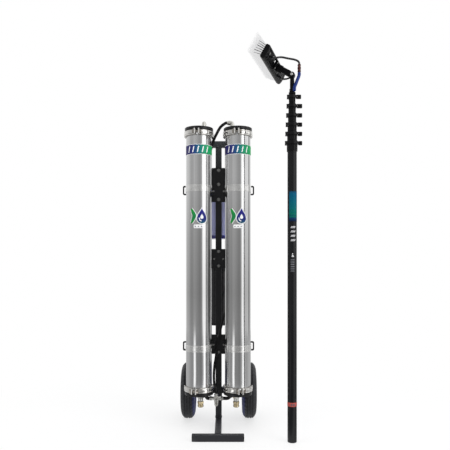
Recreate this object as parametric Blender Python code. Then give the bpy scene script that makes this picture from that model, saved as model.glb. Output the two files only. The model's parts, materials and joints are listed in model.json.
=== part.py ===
"""Window cleaning pole system: an upright trolley that carries two 4-inch
stainless pressure vessels and two cartridge filters, and a seven-section
telescopic brush pole that stands beside it.

Metres, +Z up.  The origin is on the ground under the trolley's post.  The
front of the trolley (vessels, foot) faces -Y and its right is +X.  The pole
stands on the ground at +X and can be lifted away.
"""

import math
from collections import namedtuple

import bmesh
import bpy
from mathutils import Matrix, Vector

for old in list(bpy.data.objects):
    bpy.data.objects.remove(old, do_unlink=True)

# ----------------------------------------------------------- shared sizes
GAP = 0.0003                # running gap between two pieces
SIDES = ((-1, "left"), (1, "right"))

TUBE = 0.025                # square frame tube, outside
HALF_TUBE = TUBE / 2
WALL = 0.002                # its wall
PLATE_BACK = -HALF_TUBE - 0.0002 - GAP     # bracket plates, on the post's front
PLATE_FRONT = PLATE_BACK - 0.005

VESSEL_X = 0.0765           # vessel axes, left and right of the post
VESSEL_Y = -0.085
VESSEL_R = 0.0508           # 4 inch shell
VESSEL_BOTTOM = 0.1632      # shell flange faces
VESSEL_TOP = 1.1596
CAP_RISE = 0.0244           # outer face of a cap, from the shell's flange face
CAP_TOP = VESSEL_TOP + CAP_RISE
CAP_LOW = VESSEL_BOTTOM - CAP_RISE

WHEEL_X = 0.1275
WHEEL_Y = 0.080
WHEEL_R = 0.116
WHEEL_W = 0.059
AXLE_R = 0.008


# -------------------------------------------------------------- materials
Look = namedtuple("Look", "label colour roughness metallic", defaults=(0.0,))

BLACK_PAINT = Look("black_powder_coat", colour=(0.020, 0.021, 0.024), roughness=0.45)
STEEL = Look("brushed_stainless", colour=(0.55, 0.55, 0.55), roughness=0.28, metallic=1.0)
BRIGHT = Look("polished_stainless", colour=(0.72, 0.72, 0.73), roughness=0.14, metallic=1.0)
BLACK_PLASTIC = Look("black_plastic", colour=(0.018, 0.018, 0.020), roughness=0.38)
RUBBER = Look("black_rubber", colour=(0.022, 0.022, 0.024), roughness=0.75)
NAVY = Look("navy_rim_paint", colour=(0.016, 0.028, 0.130), roughness=0.35)
BRASS = Look("brass", colour=(0.60, 0.42, 0.17), roughness=0.25, metallic=1.0)
CARBON = Look("carbon_tube", colour=(0.016, 0.017, 0.020), roughness=0.22)
LILAC = Look("translucent_blue_sump", colour=(0.45, 0.48, 0.78), roughness=0.20)
WHITE = Look("white_cartridge", colour=(0.80, 0.80, 0.78), roughness=0.80)
BRISTLE = Look("white_bristle", colour=(0.82, 0.83, 0.84), roughness=0.55)
RED_BROWN = Look("red_brown_plastic", colour=(0.18, 0.045, 0.035), roughness=0.40)
BLUE = Look("blue_hose", colour=(0.012, 0.060, 0.300), roughness=0.40)


def material(owner, look):
    made = bpy.data.materials.new(owner + "_" + look.label)
    made.use_nodes = True
    shader = made.node_tree.nodes["Principled BSDF"]
    shader.inputs["Base Color"].default_value = (*look.colour, 1.0)
    shader.inputs["Roughness"].default_value = look.roughness
    shader.inputs["Metallic"].default_value = look.metallic
    return made


# --------------------------------------------------- spans and outlines
def around(middle, half):
    """The span that reaches half to each side of middle."""
    return (middle - half, middle + half)


def beside(side, near, far):
    """The span from near to far, on the side (-1 or 1) of zero."""
    return tuple(sorted((side * near, side * far)))


def stacked(rows, base, up=1):
    """(r, z) rows measured from height base, mirrored downwards if up is -1."""
    return [(r, base + up * z) for r, z in rows]


def arc(radius, angles, centre=(0.0, 0.0), x_sign=1):
    """(x, y) points on a circle, mirrored in X if x_sign is -1."""
    return [
        (centre[0] + radius * (x_sign * math.cos(angle)), centre[1] + radius * math.sin(angle))
        for angle in angles
    ]


# --------------------------------------------------------- solid helpers
def mesh_of(shape, name):
    bmesh.ops.recalc_face_normals(shape, faces=shape.faces)
    mesh = bpy.data.meshes.new(name)
    shape.to_mesh(mesh)
    shape.free()
    return mesh


def combined(base, tool, operation):
    """base with tool joined to it or cut from it, as a new bmesh."""
    kept = bpy.data.objects.new("kept", mesh_of(base, "kept"))
    other = bpy.data.objects.new("other", mesh_of(tool, "other"))
    for obj in (kept, other):
        bpy.context.scene.collection.objects.link(obj)
    cut = kept.modifiers.new("cut", "BOOLEAN")
    cut.operation = operation
    cut.solver = "EXACT"
    cut.object = other
    graph = bpy.context.evaluated_depsgraph_get()
    mesh = bpy.data.meshes.new_from_object(kept.evaluated_get(graph))
    shape = bmesh.new()
    shape.from_mesh(mesh)
    bpy.data.objects.remove(kept, do_unlink=True)
    bpy.data.objects.remove(other, do_unlink=True)
    return shape


def union(first, *others):
    for other in others:
        first = combined(first, other, "UNION")
    return first


def minus(first, *others):
    for other in others:
        first = combined(first, other, "DIFFERENCE")
    return first


def placed(shape, matrix):
    bmesh.ops.transform(shape, matrix=matrix, verts=shape.verts)
    return shape


def block(x_span, y_span, z_span, bevel=0.0):
    """A box given by its three spans, its edges cut off if bevel is given."""
    shape = bmesh.new()
    bmesh.ops.create_cube(shape, size=1.0)
    spans = (x_span, y_span, z_span)
    size = Vector([high - low for low, high in spans])
    middle = Vector([low + high for low, high in spans]) / 2
    bmesh.ops.scale(shape, vec=size, verts=shape.verts)
    bmesh.ops.translate(shape, vec=middle, verts=shape.verts)
    if bevel:
        bmesh.ops.bevel(
            shape, geom=list(shape.edges), offset=bevel, segments=1,
            affect="EDGES", clamp_overlap=True,
        )
    return shape


def prism(outline, low, high):
    """A flat outline in XY, extruded from height low to high."""
    shape = bmesh.new()
    base = shape.faces.new([shape.verts.new((x, y, low)) for x, y in outline])
    made = bmesh.ops.extrude_face_region(shape, geom=[base])
    top = [v for v in made["geom"] if isinstance(v, bmesh.types.BMVert)]
    bmesh.ops.translate(shape, vec=(0, 0, high - low), verts=top)
    return shape


def turned(profile, segments, centre=(0.0, 0.0), start=0.0, sweep=2 * math.pi):
    """A closed (r, z) profile turned about the vertical line at centre.

    Points with r = 0 become single vertices on the axis.  A sweep under a full
    turn gets a flat face at each end.
    """
    shape = bmesh.new()
    full = abs(sweep - 2 * math.pi) < 1e-9
    stations = segments if full else segments + 1
    rings = []
    for r, z in profile:
        if r < 1e-9:
            point = shape.verts.new((centre[0], centre[1], z))
            rings.append([point] * stations)
            continue
        angles = [start + sweep * k / segments for k in range(stations)]
        rings.append([shape.verts.new((x, y, z)) for x, y in arc(r, angles, centre)])
    for i, ring in enumerate(rings):
        after = rings[(i + 1) % len(rings)]
        for k in range(segments):
            following = (k + 1) % stations
            corners = []
            for vert in (ring[k], ring[following], after[following], after[k]):
                if vert not in corners:
                    corners.append(vert)
            if len(corners) > 2:
                shape.faces.new(corners)
    if not full:
        shape.faces.new([ring[0] for ring in rings])
        shape.faces.new([ring[-1] for ring in rings])
    return shape


def rod(start, end, radius, sides):
    """A plain round bar between two points."""
    start, end = Vector(start), Vector(end)
    shape = bmesh.new()
    bmesh.ops.create_cone(
        shape, cap_ends=True, segments=sides, radius1=radius, radius2=radius,
        depth=(end - start).length,
    )
    turn = Vector((0, 0, 1)).rotation_difference(end - start).to_matrix().to_4x4()
    return placed(shape, Matrix.Translation((start + end) / 2) @ turn)


def spline(points, steps):
    """Catmull-Rom points through the given ones."""
    knots = [Vector(point) for point in points]
    knots = [2 * knots[0] - knots[1]] + knots + [2 * knots[-1] - knots[-2]]
    path = []
    for before, here, after, beyond in zip(knots, knots[1:], knots[2:], knots[3:]):
        for k in range(steps):
            t = k / steps
            path.append(0.5 * (
                2 * here + (after - before) * t
                + (2 * before - 5 * here + 4 * after - beyond) * t * t
                + (3 * here - before - 3 * after + beyond) * t * t * t
            ))
    path.append(knots[-2])
    return path


def bridge(shape, low, high):
    """Side faces between two rings of vertices."""
    for k in range(len(low)):
        following = (k + 1) % len(low)
        shape.faces.new((low[k], low[following], high[following], high[k]))


def hose(points, radius, sides=6):
    """A round solid swept on a smooth path through (x, y, z) points, with
    flat ends."""
    path = spline(points, steps=2)
    shape = bmesh.new()
    across = None
    rings = []
    for i, at in enumerate(path):
        ahead = (path[min(i + 1, len(path) - 1)] - path[max(i - 1, 0)]).normalized()
        if across is None:
            across = ahead.orthogonal().normalized()
        # carry the last cross direction along, so that the hose doesn't twist
        across = (across - ahead * across.dot(ahead)).normalized()
        other = ahead.cross(across)
        rings.append([
            shape.verts.new(at + radius * (math.cos(angle) * across + math.sin(angle) * other))
            for angle in (2 * math.pi * k / sides for k in range(sides))
        ])
    for low, high in zip(rings, rings[1:]):
        bridge(shape, low, high)
    shape.faces.new(rings[0])
    shape.faces.new(rings[-1])
    return shape


# --------------------------------------------------------- scene objects
def empty(name, at, parent=None, turn=Matrix.Identity(4)):
    """An axis at a place and turn in the world, kept there under its parent."""
    made = bpy.data.objects.new(name, None)
    bpy.context.scene.collection.objects.link(made)
    made.matrix_world = Matrix.Translation(at) @ turn
    bpy.context.view_layer.update()
    if parent is not None:
        made.parent = parent
        made.matrix_parent_inverse = parent.matrix_world.inverted()
    return made


def part(name, shape, look, parent, origin=(0.0, 0.0, 0.0), local=False):
    """Makes the named object.

    The shape is in world coordinates, unless local is set, when it is in its
    parent's.  origin is where the object's own origin goes.
    """
    mesh = mesh_of(shape, name)
    made = bpy.data.objects.new(name, mesh)
    bpy.context.scene.collection.objects.link(made)
    mesh.materials.append(material(name, look))
    if not local:
        bpy.context.view_layer.update()
        to_parent = parent.matrix_world.inverted()
        mesh.transform(to_parent)
        origin = to_parent @ Vector(origin)
    mesh.transform(Matrix.Translation(-Vector(origin)))
    made.location = origin
    made.parent = parent
    mesh.shade_smooth()
    mesh.set_sharp_from_angle(angle=math.radians(32))


cart = empty("cart", (0, 0, 0))

# ------------------------------------------------------------------ frame
POST_TOP = 1.1525
HANDLE_HALF = 0.094         # half length of the T handle
FOOT_FRONT = -0.241         # front face of the foot bar
FOOT_HALF = 0.0940          # half length of the foot bar
BEAM_HALF = 0.090           # half length of the axle beam
AXLE_HALF = 0.160
HOLLOW_LOW = 0.012          # bottom of the post's hollow
OVERCUT = 0.01              # cutters run this far past open tube ends


def frame_shape():
    """One weldment of square tube, open at the ends of the handle and the foot
    bar, with the round axle welded through the axle beam.

    The tubes differ by a few tenths of a millimetre, so that no two faces
    share a plane where they are joined.
    """
    post = block(around(0, HALF_TUBE), around(0, HALF_TUBE), (0.0004, POST_TOP - 0.0004))
    handle = block(
        around(0, HANDLE_HALF), around(0, HALF_TUBE + 0.0002), (POST_TOP - TUBE, POST_TOP),
    )
    leg = block(
        around(0, HALF_TUBE - 0.0002), (FOOT_FRONT + 0.004, HALF_TUBE + 0.0002), (0.0, TUBE),
    )
    foot = block(around(0, FOOT_HALF), (FOOT_FRONT, FOOT_FRONT + TUBE), (0.0, TUBE + 0.0002))
    stay = block(around(0, HALF_TUBE - 0.0003), (0.0, WHEEL_Y), around(WHEEL_R, HALF_TUBE))
    beam = block(
        around(0, BEAM_HALF), around(WHEEL_Y, HALF_TUBE), around(WHEEL_R, HALF_TUBE + 0.0002),
    )
    hollow = HALF_TUBE - WALL
    post_hollow = block(around(0, hollow), around(0, hollow), (HOLLOW_LOW, POST_TOP - HALF_TUBE))
    handle_hollow = block(
        around(0, HANDLE_HALF + OVERCUT), around(0, hollow + 0.0001),
        (POST_TOP - TUBE + WALL, POST_TOP - WALL),
    )
    leg_hollow = block(
        around(0, hollow + 0.0001), (FOOT_FRONT + HALF_TUBE, hollow - 0.0001),
        (WALL, TUBE - WALL),
    )
    foot_hollow = block(
        around(0, FOOT_HALF + OVERCUT), (FOOT_FRONT + WALL, FOOT_FRONT + TUBE - WALL),
        (WALL + 0.0001, TUBE - WALL + 0.0001),
    )
    frame = union(post, handle, leg, foot, stay, beam)
    frame = minus(frame, post_hollow, handle_hollow, leg_hollow, foot_hollow)
    axle = rod((-AXLE_HALF, WHEEL_Y, WHEEL_R), (AXLE_HALF, WHEEL_Y, WHEEL_R), AXLE_R, 16)
    return union(frame, axle)


part("trolley_frame", frame_shape(), BLACK_PAINT, cart)

# ---------------------------------------------------- brackets and straps
PLATE_HALF = 0.034          # half width of a plate
BAR_HALF = 0.128            # half length of the bar behind both vessels
CUP_IN = VESSEL_R + 0.0006
CUP_OUT = VESSEL_R + 0.0062
STRAP_IN = VESSEL_R + 0.0005
STRAP_OUT = VESSEL_R + 0.0017
STRAP_H = 0.0265
STRAP_END = 0.0155          # end of the strap's foot, from the middle

# name, height of the straps, bottom and top of the plate
VESSEL_BRACKETS = (
    ("upper", 0.946, 0.903, 1.041),
    ("lower", 0.323, 0.285, 0.364),
)


def bracket_plate(low, high):
    return block(around(0, PLATE_HALF), (PLATE_FRONT, PLATE_BACK), (low, high))


def vessel_bracket(z, plate_low, plate_high):
    """Plate on the post, a bar behind both vessels, their cups and strap ears."""
    bar = block(
        around(0, BAR_HALF), (PLATE_FRONT - 0.0003, PLATE_BACK - 0.0006), around(z, 0.0184),
    )
    shape = union(bracket_plate(plate_low, plate_high), bar)
    for side, _ in SIDES:
        x = side * VESSEL_X
        cup = turned(
            [(CUP_IN, z - 0.0180), (CUP_OUT, z - 0.0180), (CUP_OUT, z + 0.0180),
             (CUP_IN, z + 0.0180)],
            10, (x, VESSEL_Y), start=math.radians(32), sweep=math.radians(116),
        )
        pad = block(
            around(x, 0.016), (VESSEL_Y + VESSEL_R + 0.0025, PLATE_BACK - 0.002),
            around(z, 0.0170),
        )
        ear = minus(
            block(
                beside(side, 0.1200, 0.1420), (VESSEL_Y + 0.032, VESSEL_Y + 0.044),
                around(z, 0.0185),
            ),
            block(
                beside(side, 0.1238, 0.1378), (VESSEL_Y + 0.020, VESSEL_Y + 0.060),
                around(z, 0.0140),
            ),
        )
        shape = union(shape, pad, cup, ear)
    return shape


def strap_shape(side, z):
    """A stainless strip round the front of a vessel, from the ear side to a
    foot on the bracket plate."""
    x = side * VESSEL_X
    # angle 0 points to the trolley's middle, 270 degrees to the front
    angles = [math.radians(152 + 212 * k / 18) for k in range(19)]
    outer = arc(STRAP_OUT, angles, (x, VESSEL_Y), -side)
    inner = arc(STRAP_IN, angles, (x, VESSEL_Y), -side)
    foot = PLATE_FRONT - 0.0003 - GAP
    web = x - side * (VESSEL_R + 0.0011)
    outer += [(web - side * 0.0006, foot - 0.0014), (side * STRAP_END, foot - 0.0014)]
    inner += [(web + side * 0.0008, foot), (side * STRAP_END, foot)]
    return prism(outer + inner[::-1], *around(z, STRAP_H / 2))


for level, strap_z, plate_low, plate_high in VESSEL_BRACKETS:
    bracket = vessel_bracket(strap_z, plate_low, plate_high)
    part(level + "_vessel_bracket", bracket, BLACK_PAINT, cart)
    for side, word in SIDES:
        part(level + "_strap_" + word, strap_shape(side, strap_z), STEEL, cart)
part("middle_filter_bracket", bracket_plate(0.633, 0.712), BLACK_PAINT, cart)

# ---------------------------------------------------------------- vessels
SHELL = 0.002               # shell wall
FLANGE_R = 0.0545
BAND_HALF = 0.0224 / 2      # half height of a V-band clamp
BAND_R = 0.0590
BAND_IN = 0.0518
BAND_SPLIT = math.radians(4.5)      # half angle of the split
BOLT_Y = -BAND_R - 0.0090
CAP_R = 0.0560
CAP_NECK_R = 0.0500
PLUG_R = 0.0480
PLUG_DEPTH = 0.019

# r, z outwards from the shell's flange face
CAP_ROWS = [
    (0, -PLUG_DEPTH), (PLUG_R, -PLUG_DEPTH), (PLUG_R, GAP), (FLANGE_R, GAP),
    (FLANGE_R, 0.0033), (CAP_NECK_R, 0.0070), (CAP_NECK_R, BAND_HALF + 0.0006),
    (CAP_R, BAND_HALF + 0.0006), (CAP_R, CAP_RISE), (0, CAP_RISE),
]
# r, z from the middle of the band
BAND_ROWS = [
    (BAND_IN, -BAND_HALF), (BAND_R, -BAND_HALF), (BAND_R, BAND_HALF), (BAND_IN, BAND_HALF),
    (BAND_IN, 0.0098), (0.0560, 0.0050), (0.0560, -0.0050), (BAND_IN, -0.0098),
]
# r, z: the spiral-wound membrane on its product-water tube
MEMBRANE_ROWS = [
    (0, 0.1830), (0.0095, 0.1830), (0.0095, 0.1900), (0.0470, 0.1900),
    (0.0470, 1.1330), (0.0095, 1.1330), (0.0095, 1.1395), (0, 1.1395),
]


def flanged_shell(x):
    low, high, bore = VESSEL_BOTTOM, VESSEL_TOP, VESSEL_R - SHELL
    rows = [
        (bore, low), (FLANGE_R, low), (FLANGE_R, low + 0.003), (VESSEL_R, low + 0.0065),
        (VESSEL_R, high - 0.0065), (FLANGE_R, high - 0.003), (FLANGE_R, high), (bore, high),
    ]
    return turned(rows, 28, (x, VESSEL_Y))


def end_cap(x, face, up):
    """Plug with its flange and outer disc, on the flange face at that height."""
    return turned(stacked(CAP_ROWS, face, up), 20, (x, VESSEL_Y))


def v_band(x, z, degrees):
    """Split channel ring round the two flanges, with two lugs and its bolt.
    The split faces forward, then the whole band turns by the given degrees."""
    band = turned(
        stacked(BAND_ROWS, z), 20,
        start=math.radians(-90) + BAND_SPLIT, sweep=2 * math.pi - 2 * BAND_SPLIT,
    )
    lugs = [
        block(
            beside(side, 0.0050, 0.0105), (-BAND_R - 0.0170, -BAND_R + 0.0025),
            around(z, 0.0102),
        )
        for side, _ in SIDES
    ]
    bolt = rod((-0.0170, BOLT_Y, z), (0.0190, BOLT_Y, z), 0.0045, 6)
    turn = Matrix.Rotation(math.radians(degrees), 4, "Z")
    return placed(union(band, *lugs, bolt), Matrix.Translation((x, VESSEL_Y, 0)) @ turn)


# end, height of its flange face, way out, band turn in degrees left and right
VESSEL_ENDS = (
    ("top", VESSEL_TOP, 1, {"left": -5, "right": -5}),
    ("bottom", VESSEL_BOTTOM, -1, {"left": -14, "right": 8}),
)
for side, word in SIDES:
    x = side * VESSEL_X
    part("vessel_shell_" + word, flanged_shell(x), STEEL, cart)
    for end, face, up, band_turn in VESSEL_ENDS:
        part(end + "_cap_" + word, end_cap(x, face, up), BLACK_PLASTIC, cart)
        part(end + "_v_band_" + word, v_band(x, face, band_turn[word]), BRIGHT, cart)
    part("membrane_" + word, turned(MEMBRANE_ROWS, 12, (x, VESSEL_Y)), WHITE, cart)

# ----------------------------------------------------- elbows on the caps
ELBOW_Z = CAP_TOP + 0.0235  # axis of an elbow's level branch

# r, z from the cap: collar and upright of an elbow
ELBOW_ROWS = [
    (0, GAP), (0.0100, GAP), (0.0100, 0.0080), (0.0075, 0.0082), (0.0075, 0.0250), (0, 0.0250),
]


def elbow_shape(port, heading, body_half, body_top, branch, nut):
    """Upright on a cap, a corner block and a level branch with a hex nut.

    port is (x, y), heading the branch's (x, y) direction, branch its (length,
    radius) and nut its (start, end, radius), measured from the upright's axis.
    """
    def along(distance):
        return (port[0] + heading[0] * distance, port[1] + heading[1] * distance, ELBOW_Z)

    length, branch_r = branch
    nut_start, nut_end, nut_r = nut
    return union(
        turned(stacked(ELBOW_ROWS, CAP_TOP), 12, port),
        block(
            around(port[0], body_half), around(port[1], body_half),
            (CAP_TOP + 0.0150, CAP_TOP + body_top), bevel=0.0015,
        ),
        rod(along(0), along(length), branch_r, 12),
        rod(along(nut_start), along(nut_end), nut_r, 6),
    )


# left vessel: product-water outlet, which looks back
outlet = elbow_shape(
    port=(-0.0570, VESSEL_Y + 0.004), heading=(0, 1), body_half=0.0090, body_top=0.0312,
    branch=(0.0300, 0.0068), nut=(0.0180, 0.0260, 0.0086),
)
part("outlet_elbow_left", outlet, BRIGHT, cart)

# right vessel: inlet, which looks left, towards the other vessel
inlet = elbow_shape(
    port=(0.0550, VESSEL_Y), heading=(-1, 0), body_half=0.0085, body_top=0.0308,
    branch=(0.0210, 0.0070), nut=(0.0110, 0.0180, 0.0088),
)
part("inlet_elbow_right", inlet, BRIGHT, cart)


# --------------------------------------------- couplers under the vessels
def coupler_shape(side):
    """Where the water supply or the pole hose connects."""
    centre = (side * 0.0700, VESSEL_Y - 0.0060)
    top = CAP_LOW - GAP
    body = [
        (0, top), (0.0086, top), (0.0086, 0.1120), (0.0116, 0.1105), (0.0116, 0.0895),
        (0.0072, 0.0880), (0.0072, 0.1010), (0, 0.1010),
    ]
    hexagon = [(0, -0.0030), (0.0118, -0.0030), (0.0118, -0.0200), (0, -0.0200)]
    return union(turned(body, 16, centre), turned(stacked(hexagon, top), 6, centre))


for side, word in SIDES:
    part("brass_coupler_" + word, coupler_shape(side), BRASS, cart)

# ------------------------------------------------- drain tee and its valve
TEE = Vector((-0.0083, -0.0800, 0.1200))
LEVER_AT = (TEE.x, TEE.y - 0.0088, TEE.z)

# x, y of the lever while it lies flat, its pivot at the origin
LEVER_OUTLINE = [
    (-0.0095, 0.0075), (-0.0060, 0.0110), (0.0060, 0.0110), (0.0095, 0.0075),
    (0.0085, -0.0100), (0.0060, -0.0250), (0.0030, -0.0280), (-0.0030, -0.0280),
    (-0.0060, -0.0250), (-0.0085, -0.0100),
]
LEVER_SLOT = [(-0.0022, -0.0085), (0.0022, -0.0085), (0.0014, -0.0225), (-0.0014, -0.0225)]


def tee_shape():
    """Cross branch, a branch up and one down, a middle block and the valve
    stem that looks forward."""
    return union(
        rod(TEE + Vector((-0.0265, 0, 0)), TEE + Vector((0.0265, 0, 0)), 0.0070, 12),
        rod(TEE, TEE + Vector((0, 0.0020, 0.0180)), 0.0070, 12),
        rod(TEE, TEE + Vector((0, 0, -0.0300)), 0.0066, 12),
        block(*[around(middle, 0.0085) for middle in TEE], bevel=0.0015),
        rod(TEE, TEE + Vector((0, -0.0150, 0)), 0.0042, 12),
    )


def drain_lever():
    plate = minus(
        prism(LEVER_OUTLINE, 0.0, 0.0030),
        rod((0, 0, -0.01), (0, 0, 0.01), 0.0045, 16),
        prism(LEVER_SLOT, -0.01, 0.01),
    )
    # stand the flat plate up so that it faces forward
    upright = Matrix.Rotation(math.radians(90), 4, "X")
    return placed(plate, Matrix.Translation(LEVER_AT) @ upright)


part("drain_tee", tee_shape(), BRIGHT, cart)
valve_axis = empty("drain_valve_axis", LEVER_AT, cart)
part("drain_valve_lever", drain_lever(), BRIGHT, valve_axis, LEVER_AT)

# ---------------------------------------------------------------- filters
FILTER_Y = 0.0775
FILTER_AT = (0, FILTER_Y)
UPPER_HEAD = (0.9900, 1.0550)       # bottom and top of each filter head
LOWER_HEAD = (0.6500, 0.7140)
PORT_DROP = 0.036                   # port axis, below the head's top
SUMP_GAP = 0.0005                   # between a sump and its head


def filter_head(low, top):
    """Moulded head with a pad against the post and a port on each side."""
    z = top - PORT_DROP
    rows = [
        (0, low), (0.0600, low), (0.0600, top - 0.012), (0.0500, top - 0.003),
        (0.0200, top), (0, top),
    ]
    return union(
        turned(rows, 18, FILTER_AT),
        block(around(0, 0.0300), (HALF_TUBE + 0.0005, FILTER_Y), (low + 0.008, top - 0.014)),
        rod((-0.0840, FILTER_Y, z), (0.0820, FILTER_Y, z), 0.0110, 12),
    )


def filter_sump(low, top):
    """Cup with a threaded collar, open at the top."""
    rows = [
        (0, low), (0.0440, low), (0.0520, low + 0.009), (0.0545, top - 0.030),
        (0.0615, top - 0.026), (0.0615, top), (0.0500, top), (0.0460, low + 0.006),
        (0, low + 0.006),
    ]
    return turned(rows, 20, FILTER_AT)


def filter_cartridge(low, top):
    rows = [(0.0140, low), (0.0310, low), (0.0310, top), (0.0140, top)]
    return turned(rows, 12, FILTER_AT)


part("upper_filter_head", filter_head(*UPPER_HEAD), BLACK_PLASTIC, cart)
part("upper_filter_sump", filter_sump(0.7564, UPPER_HEAD[0] - SUMP_GAP), LILAC, cart)
part("upper_filter_cartridge", filter_cartridge(0.7640, 0.9880), WHITE, cart)
part("lower_filter_head", filter_head(*LOWER_HEAD), BLACK_PLASTIC, cart)
part("lower_filter_sump", filter_sump(0.3936, LOWER_HEAD[0] - SUMP_GAP), BLACK_PLASTIC, cart)

# ---------------------------------------------------------- trolley hoses
# x, y, z: inlet elbow to the upper filter's left port
TOP_HOSE = [
    (0.0316, VESSEL_Y, ELBOW_Z), (0.0250, -0.0846, CAP_TOP + 0.0222),
    (0.0080, -0.0660, 1.1955), (-0.0090, -0.0440, 1.1715), (-0.0230, -0.0270, 1.1450),
    (-0.0330, -0.0238, 1.1100), (-0.0440, -0.0150, 1.0780), (-0.0640, 0.0150, 1.0620),
    (-0.0900, 0.0500, 1.0540), (-0.1020, 0.0720, 1.0350), (-0.0960, FILTER_Y, 1.0205),
    (-0.0850, FILTER_Y, UPPER_HEAD[1] - PORT_DROP),
]
# x, y, z: each bottom cap to the tee
BOTTOM_HOSE_LEFT = [
    (-0.0490, -0.0830, CAP_LOW - 0.0008), (-0.0490, -0.0830, 0.1290),
    (-0.0445, -0.0802, 0.1206), (-0.0360, -0.0800, 0.1200),
]
BOTTOM_HOSE_RIGHT = [
    (0.0480, -0.0830, CAP_LOW - 0.0012), (0.0480, -0.0830, 0.1290),
    (0.0380, -0.0805, 0.1205), (0.0196, -0.0800, 0.1200),
]
# x, y, z: the lower filter's right port to the tee's upper branch
FEED_HOSE = [
    (0.0844, FILTER_Y, LOWER_HEAD[1] - PORT_DROP), (0.0930, FILTER_Y, 0.6776),
    (0.1000, 0.0600, 0.6450), (0.0780, 0.0200, 0.5700), (0.0470, -0.0180, 0.5000),
    (0.0260, -0.0270, 0.4500), (0.0167, -0.0290, 0.4200), (0.0074, -0.0290, 0.3845),
    (0.0002, -0.0290, 0.3441), (-0.0060, -0.0290, 0.3150), (-0.0115, -0.0290, 0.2700),
    (-0.0165, -0.0280, 0.2391), (-0.0190, -0.0300, 0.1950), (-0.0160, -0.0480, 0.1620),
    (-0.0100, -0.0720, 0.1530), (TEE.x, TEE.y + 0.0028, TEE.z + 0.0195),
]

part("top_hose", hose(TOP_HOSE, 0.0056), RUBBER, cart)
part("bottom_hose_left", hose(BOTTOM_HOSE_LEFT, 0.0068, sides=8), RUBBER, cart)
part("bottom_hose_right", hose(BOTTOM_HOSE_RIGHT, 0.0068, sides=8), RUBBER, cart)
part("feed_hose", hose(FEED_HOSE, 0.0050), RUBBER, cart)

# ----------------------------------------------------------------- wheels
BORE_R = AXLE_R + GAP + 0.0002
TYRE_SIDE = WHEEL_W / 2 - 0.0005
TYRE_SHOULDER = WHEEL_W / 2 - 0.0120

# r, distance along the axle from the wheel's middle
RIM_ROWS = [
    (BORE_R, -0.0280), (0.0170, -0.0280), (0.0170, -0.0060), (0.0440, -0.0060),
    (0.0480, -0.0230), (0.0560, -0.0230), (0.0560, 0.0230), (0.0480, 0.0230),
    (0.0440, -0.0010), (0.0170, -0.0010), (0.0170, 0.0280), (BORE_R, 0.0280),
]
TYRE_ROWS = [
    (0.0576, -0.0225), (0.0780, -TYRE_SIDE), (0.0960, -TYRE_SIDE),
    (0.1100, -TYRE_SHOULDER), (WHEEL_R, -0.0060), (WHEEL_R, 0.0060),
    (0.1100, TYRE_SHOULDER), (0.0960, TYRE_SIDE), (0.0780, TYRE_SIDE),
    (0.0576, 0.0225), (0.1020, 0.0150), (0.1020, -0.0150),
]

for side, word in SIDES:
    centre = (side * WHEEL_X, WHEEL_Y, WHEEL_R)
    wheel_axis = empty("wheel_axis_" + word, centre, cart)
    stand = Matrix.Translation(centre) @ Matrix.Rotation(math.radians(90), 4, "Y")
    rim = placed(turned(RIM_ROWS, 18, start=math.pi / 18), stand)
    part("wheel_rim_" + word, rim, NAVY, wheel_axis, centre)
    part("tyre_" + word, placed(turned(TYRE_ROWS, 20), stand), RUBBER, wheel_axis, centre)

# ------------------------------------------------------------------- pole
# Its pieces are shaped about the Z axis, then moved to the pole's place.
POLE_X = 0.272
POLE_Y = -0.238
TO_POLE = Matrix.Translation((POLE_X, POLE_Y, 0.0))
SECTIONS = 7
CLAMPS = SECTIONS - 1
POLE_WALL = 0.0011
PITCH = 0.0339              # between two clamps of the closed pole
PIVOT_Z = 1.3438            # brush hinge
HEAD_TURN = Matrix.Rotation(math.radians(163.6), 4, "Z")    # which way the brush faces
HEAD_TILT = math.radians(31.6)      # how far its bristles look up
PIN_R = 0.0011              # clamp hinge pin

# r, z
BASE_PLUG_ROWS = [
    (0, 0), (0.0152, 0), (0.0170, 0.0018), (0.0170, 0.0040), (0.0155, 0.0041),
    (0.0155, 0.0320), (0, 0.0320),
]


# The base section is number 0 in these four functions.
def section_radius(i):
    return (0.034 - 0.003 * i) / 2


def section_low(i):
    return 0.0044 if i == 0 else 0.0360 + PITCH * (i - 1)


def clamp_height(i):
    """Middle of the clamp on a section."""
    return 1.0943 + PITCH * i


def collar_radius(i):
    return section_radius(i) + 0.00375


def clamp_hinge_x(i):
    """The clamp's hinge, on the -X side of the collar."""
    return -(collar_radius(i) + 0.0030)


SEAT = clamp_height(CLAMPS - 1) + 0.0095    # the top section's socket rests here


def clamped_section(i):
    """Tube with a collar at its top, and two ears with the clamp's pin."""
    outer = section_radius(i)
    bore = outer - POLE_WALL
    collar = collar_radius(i)
    z = clamp_height(i)
    low = section_low(i)
    bottom = z - (0.0305 if i == 0 else PITCH - 0.0095)
    top = z + 0.0085
    tube = turned(
        [(bore, low), (outer, low), (outer, bottom), (collar, bottom), (collar, top),
         (bore, top)],
        16,
    )
    hinge = clamp_hinge_x(i)
    ear = [
        (hinge - 0.0030, -0.0020), (hinge - 0.0018, -0.0032), (-collar + 0.0022, -0.0038),
        (-collar + 0.0022, 0.0038), (hinge - 0.0018, 0.0032), (hinge - 0.0030, 0.0020),
    ]
    lower_ear = prism(ear, z - 0.0080, z - 0.0054)
    upper_ear = prism(ear, z + 0.0054, z + 0.0080)
    pin = rod((hinge, 0, z - 0.0070), (hinge, 0, z + 0.0070), PIN_R, 8)
    return union(tube, lower_ear, upper_ear, pin)


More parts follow.
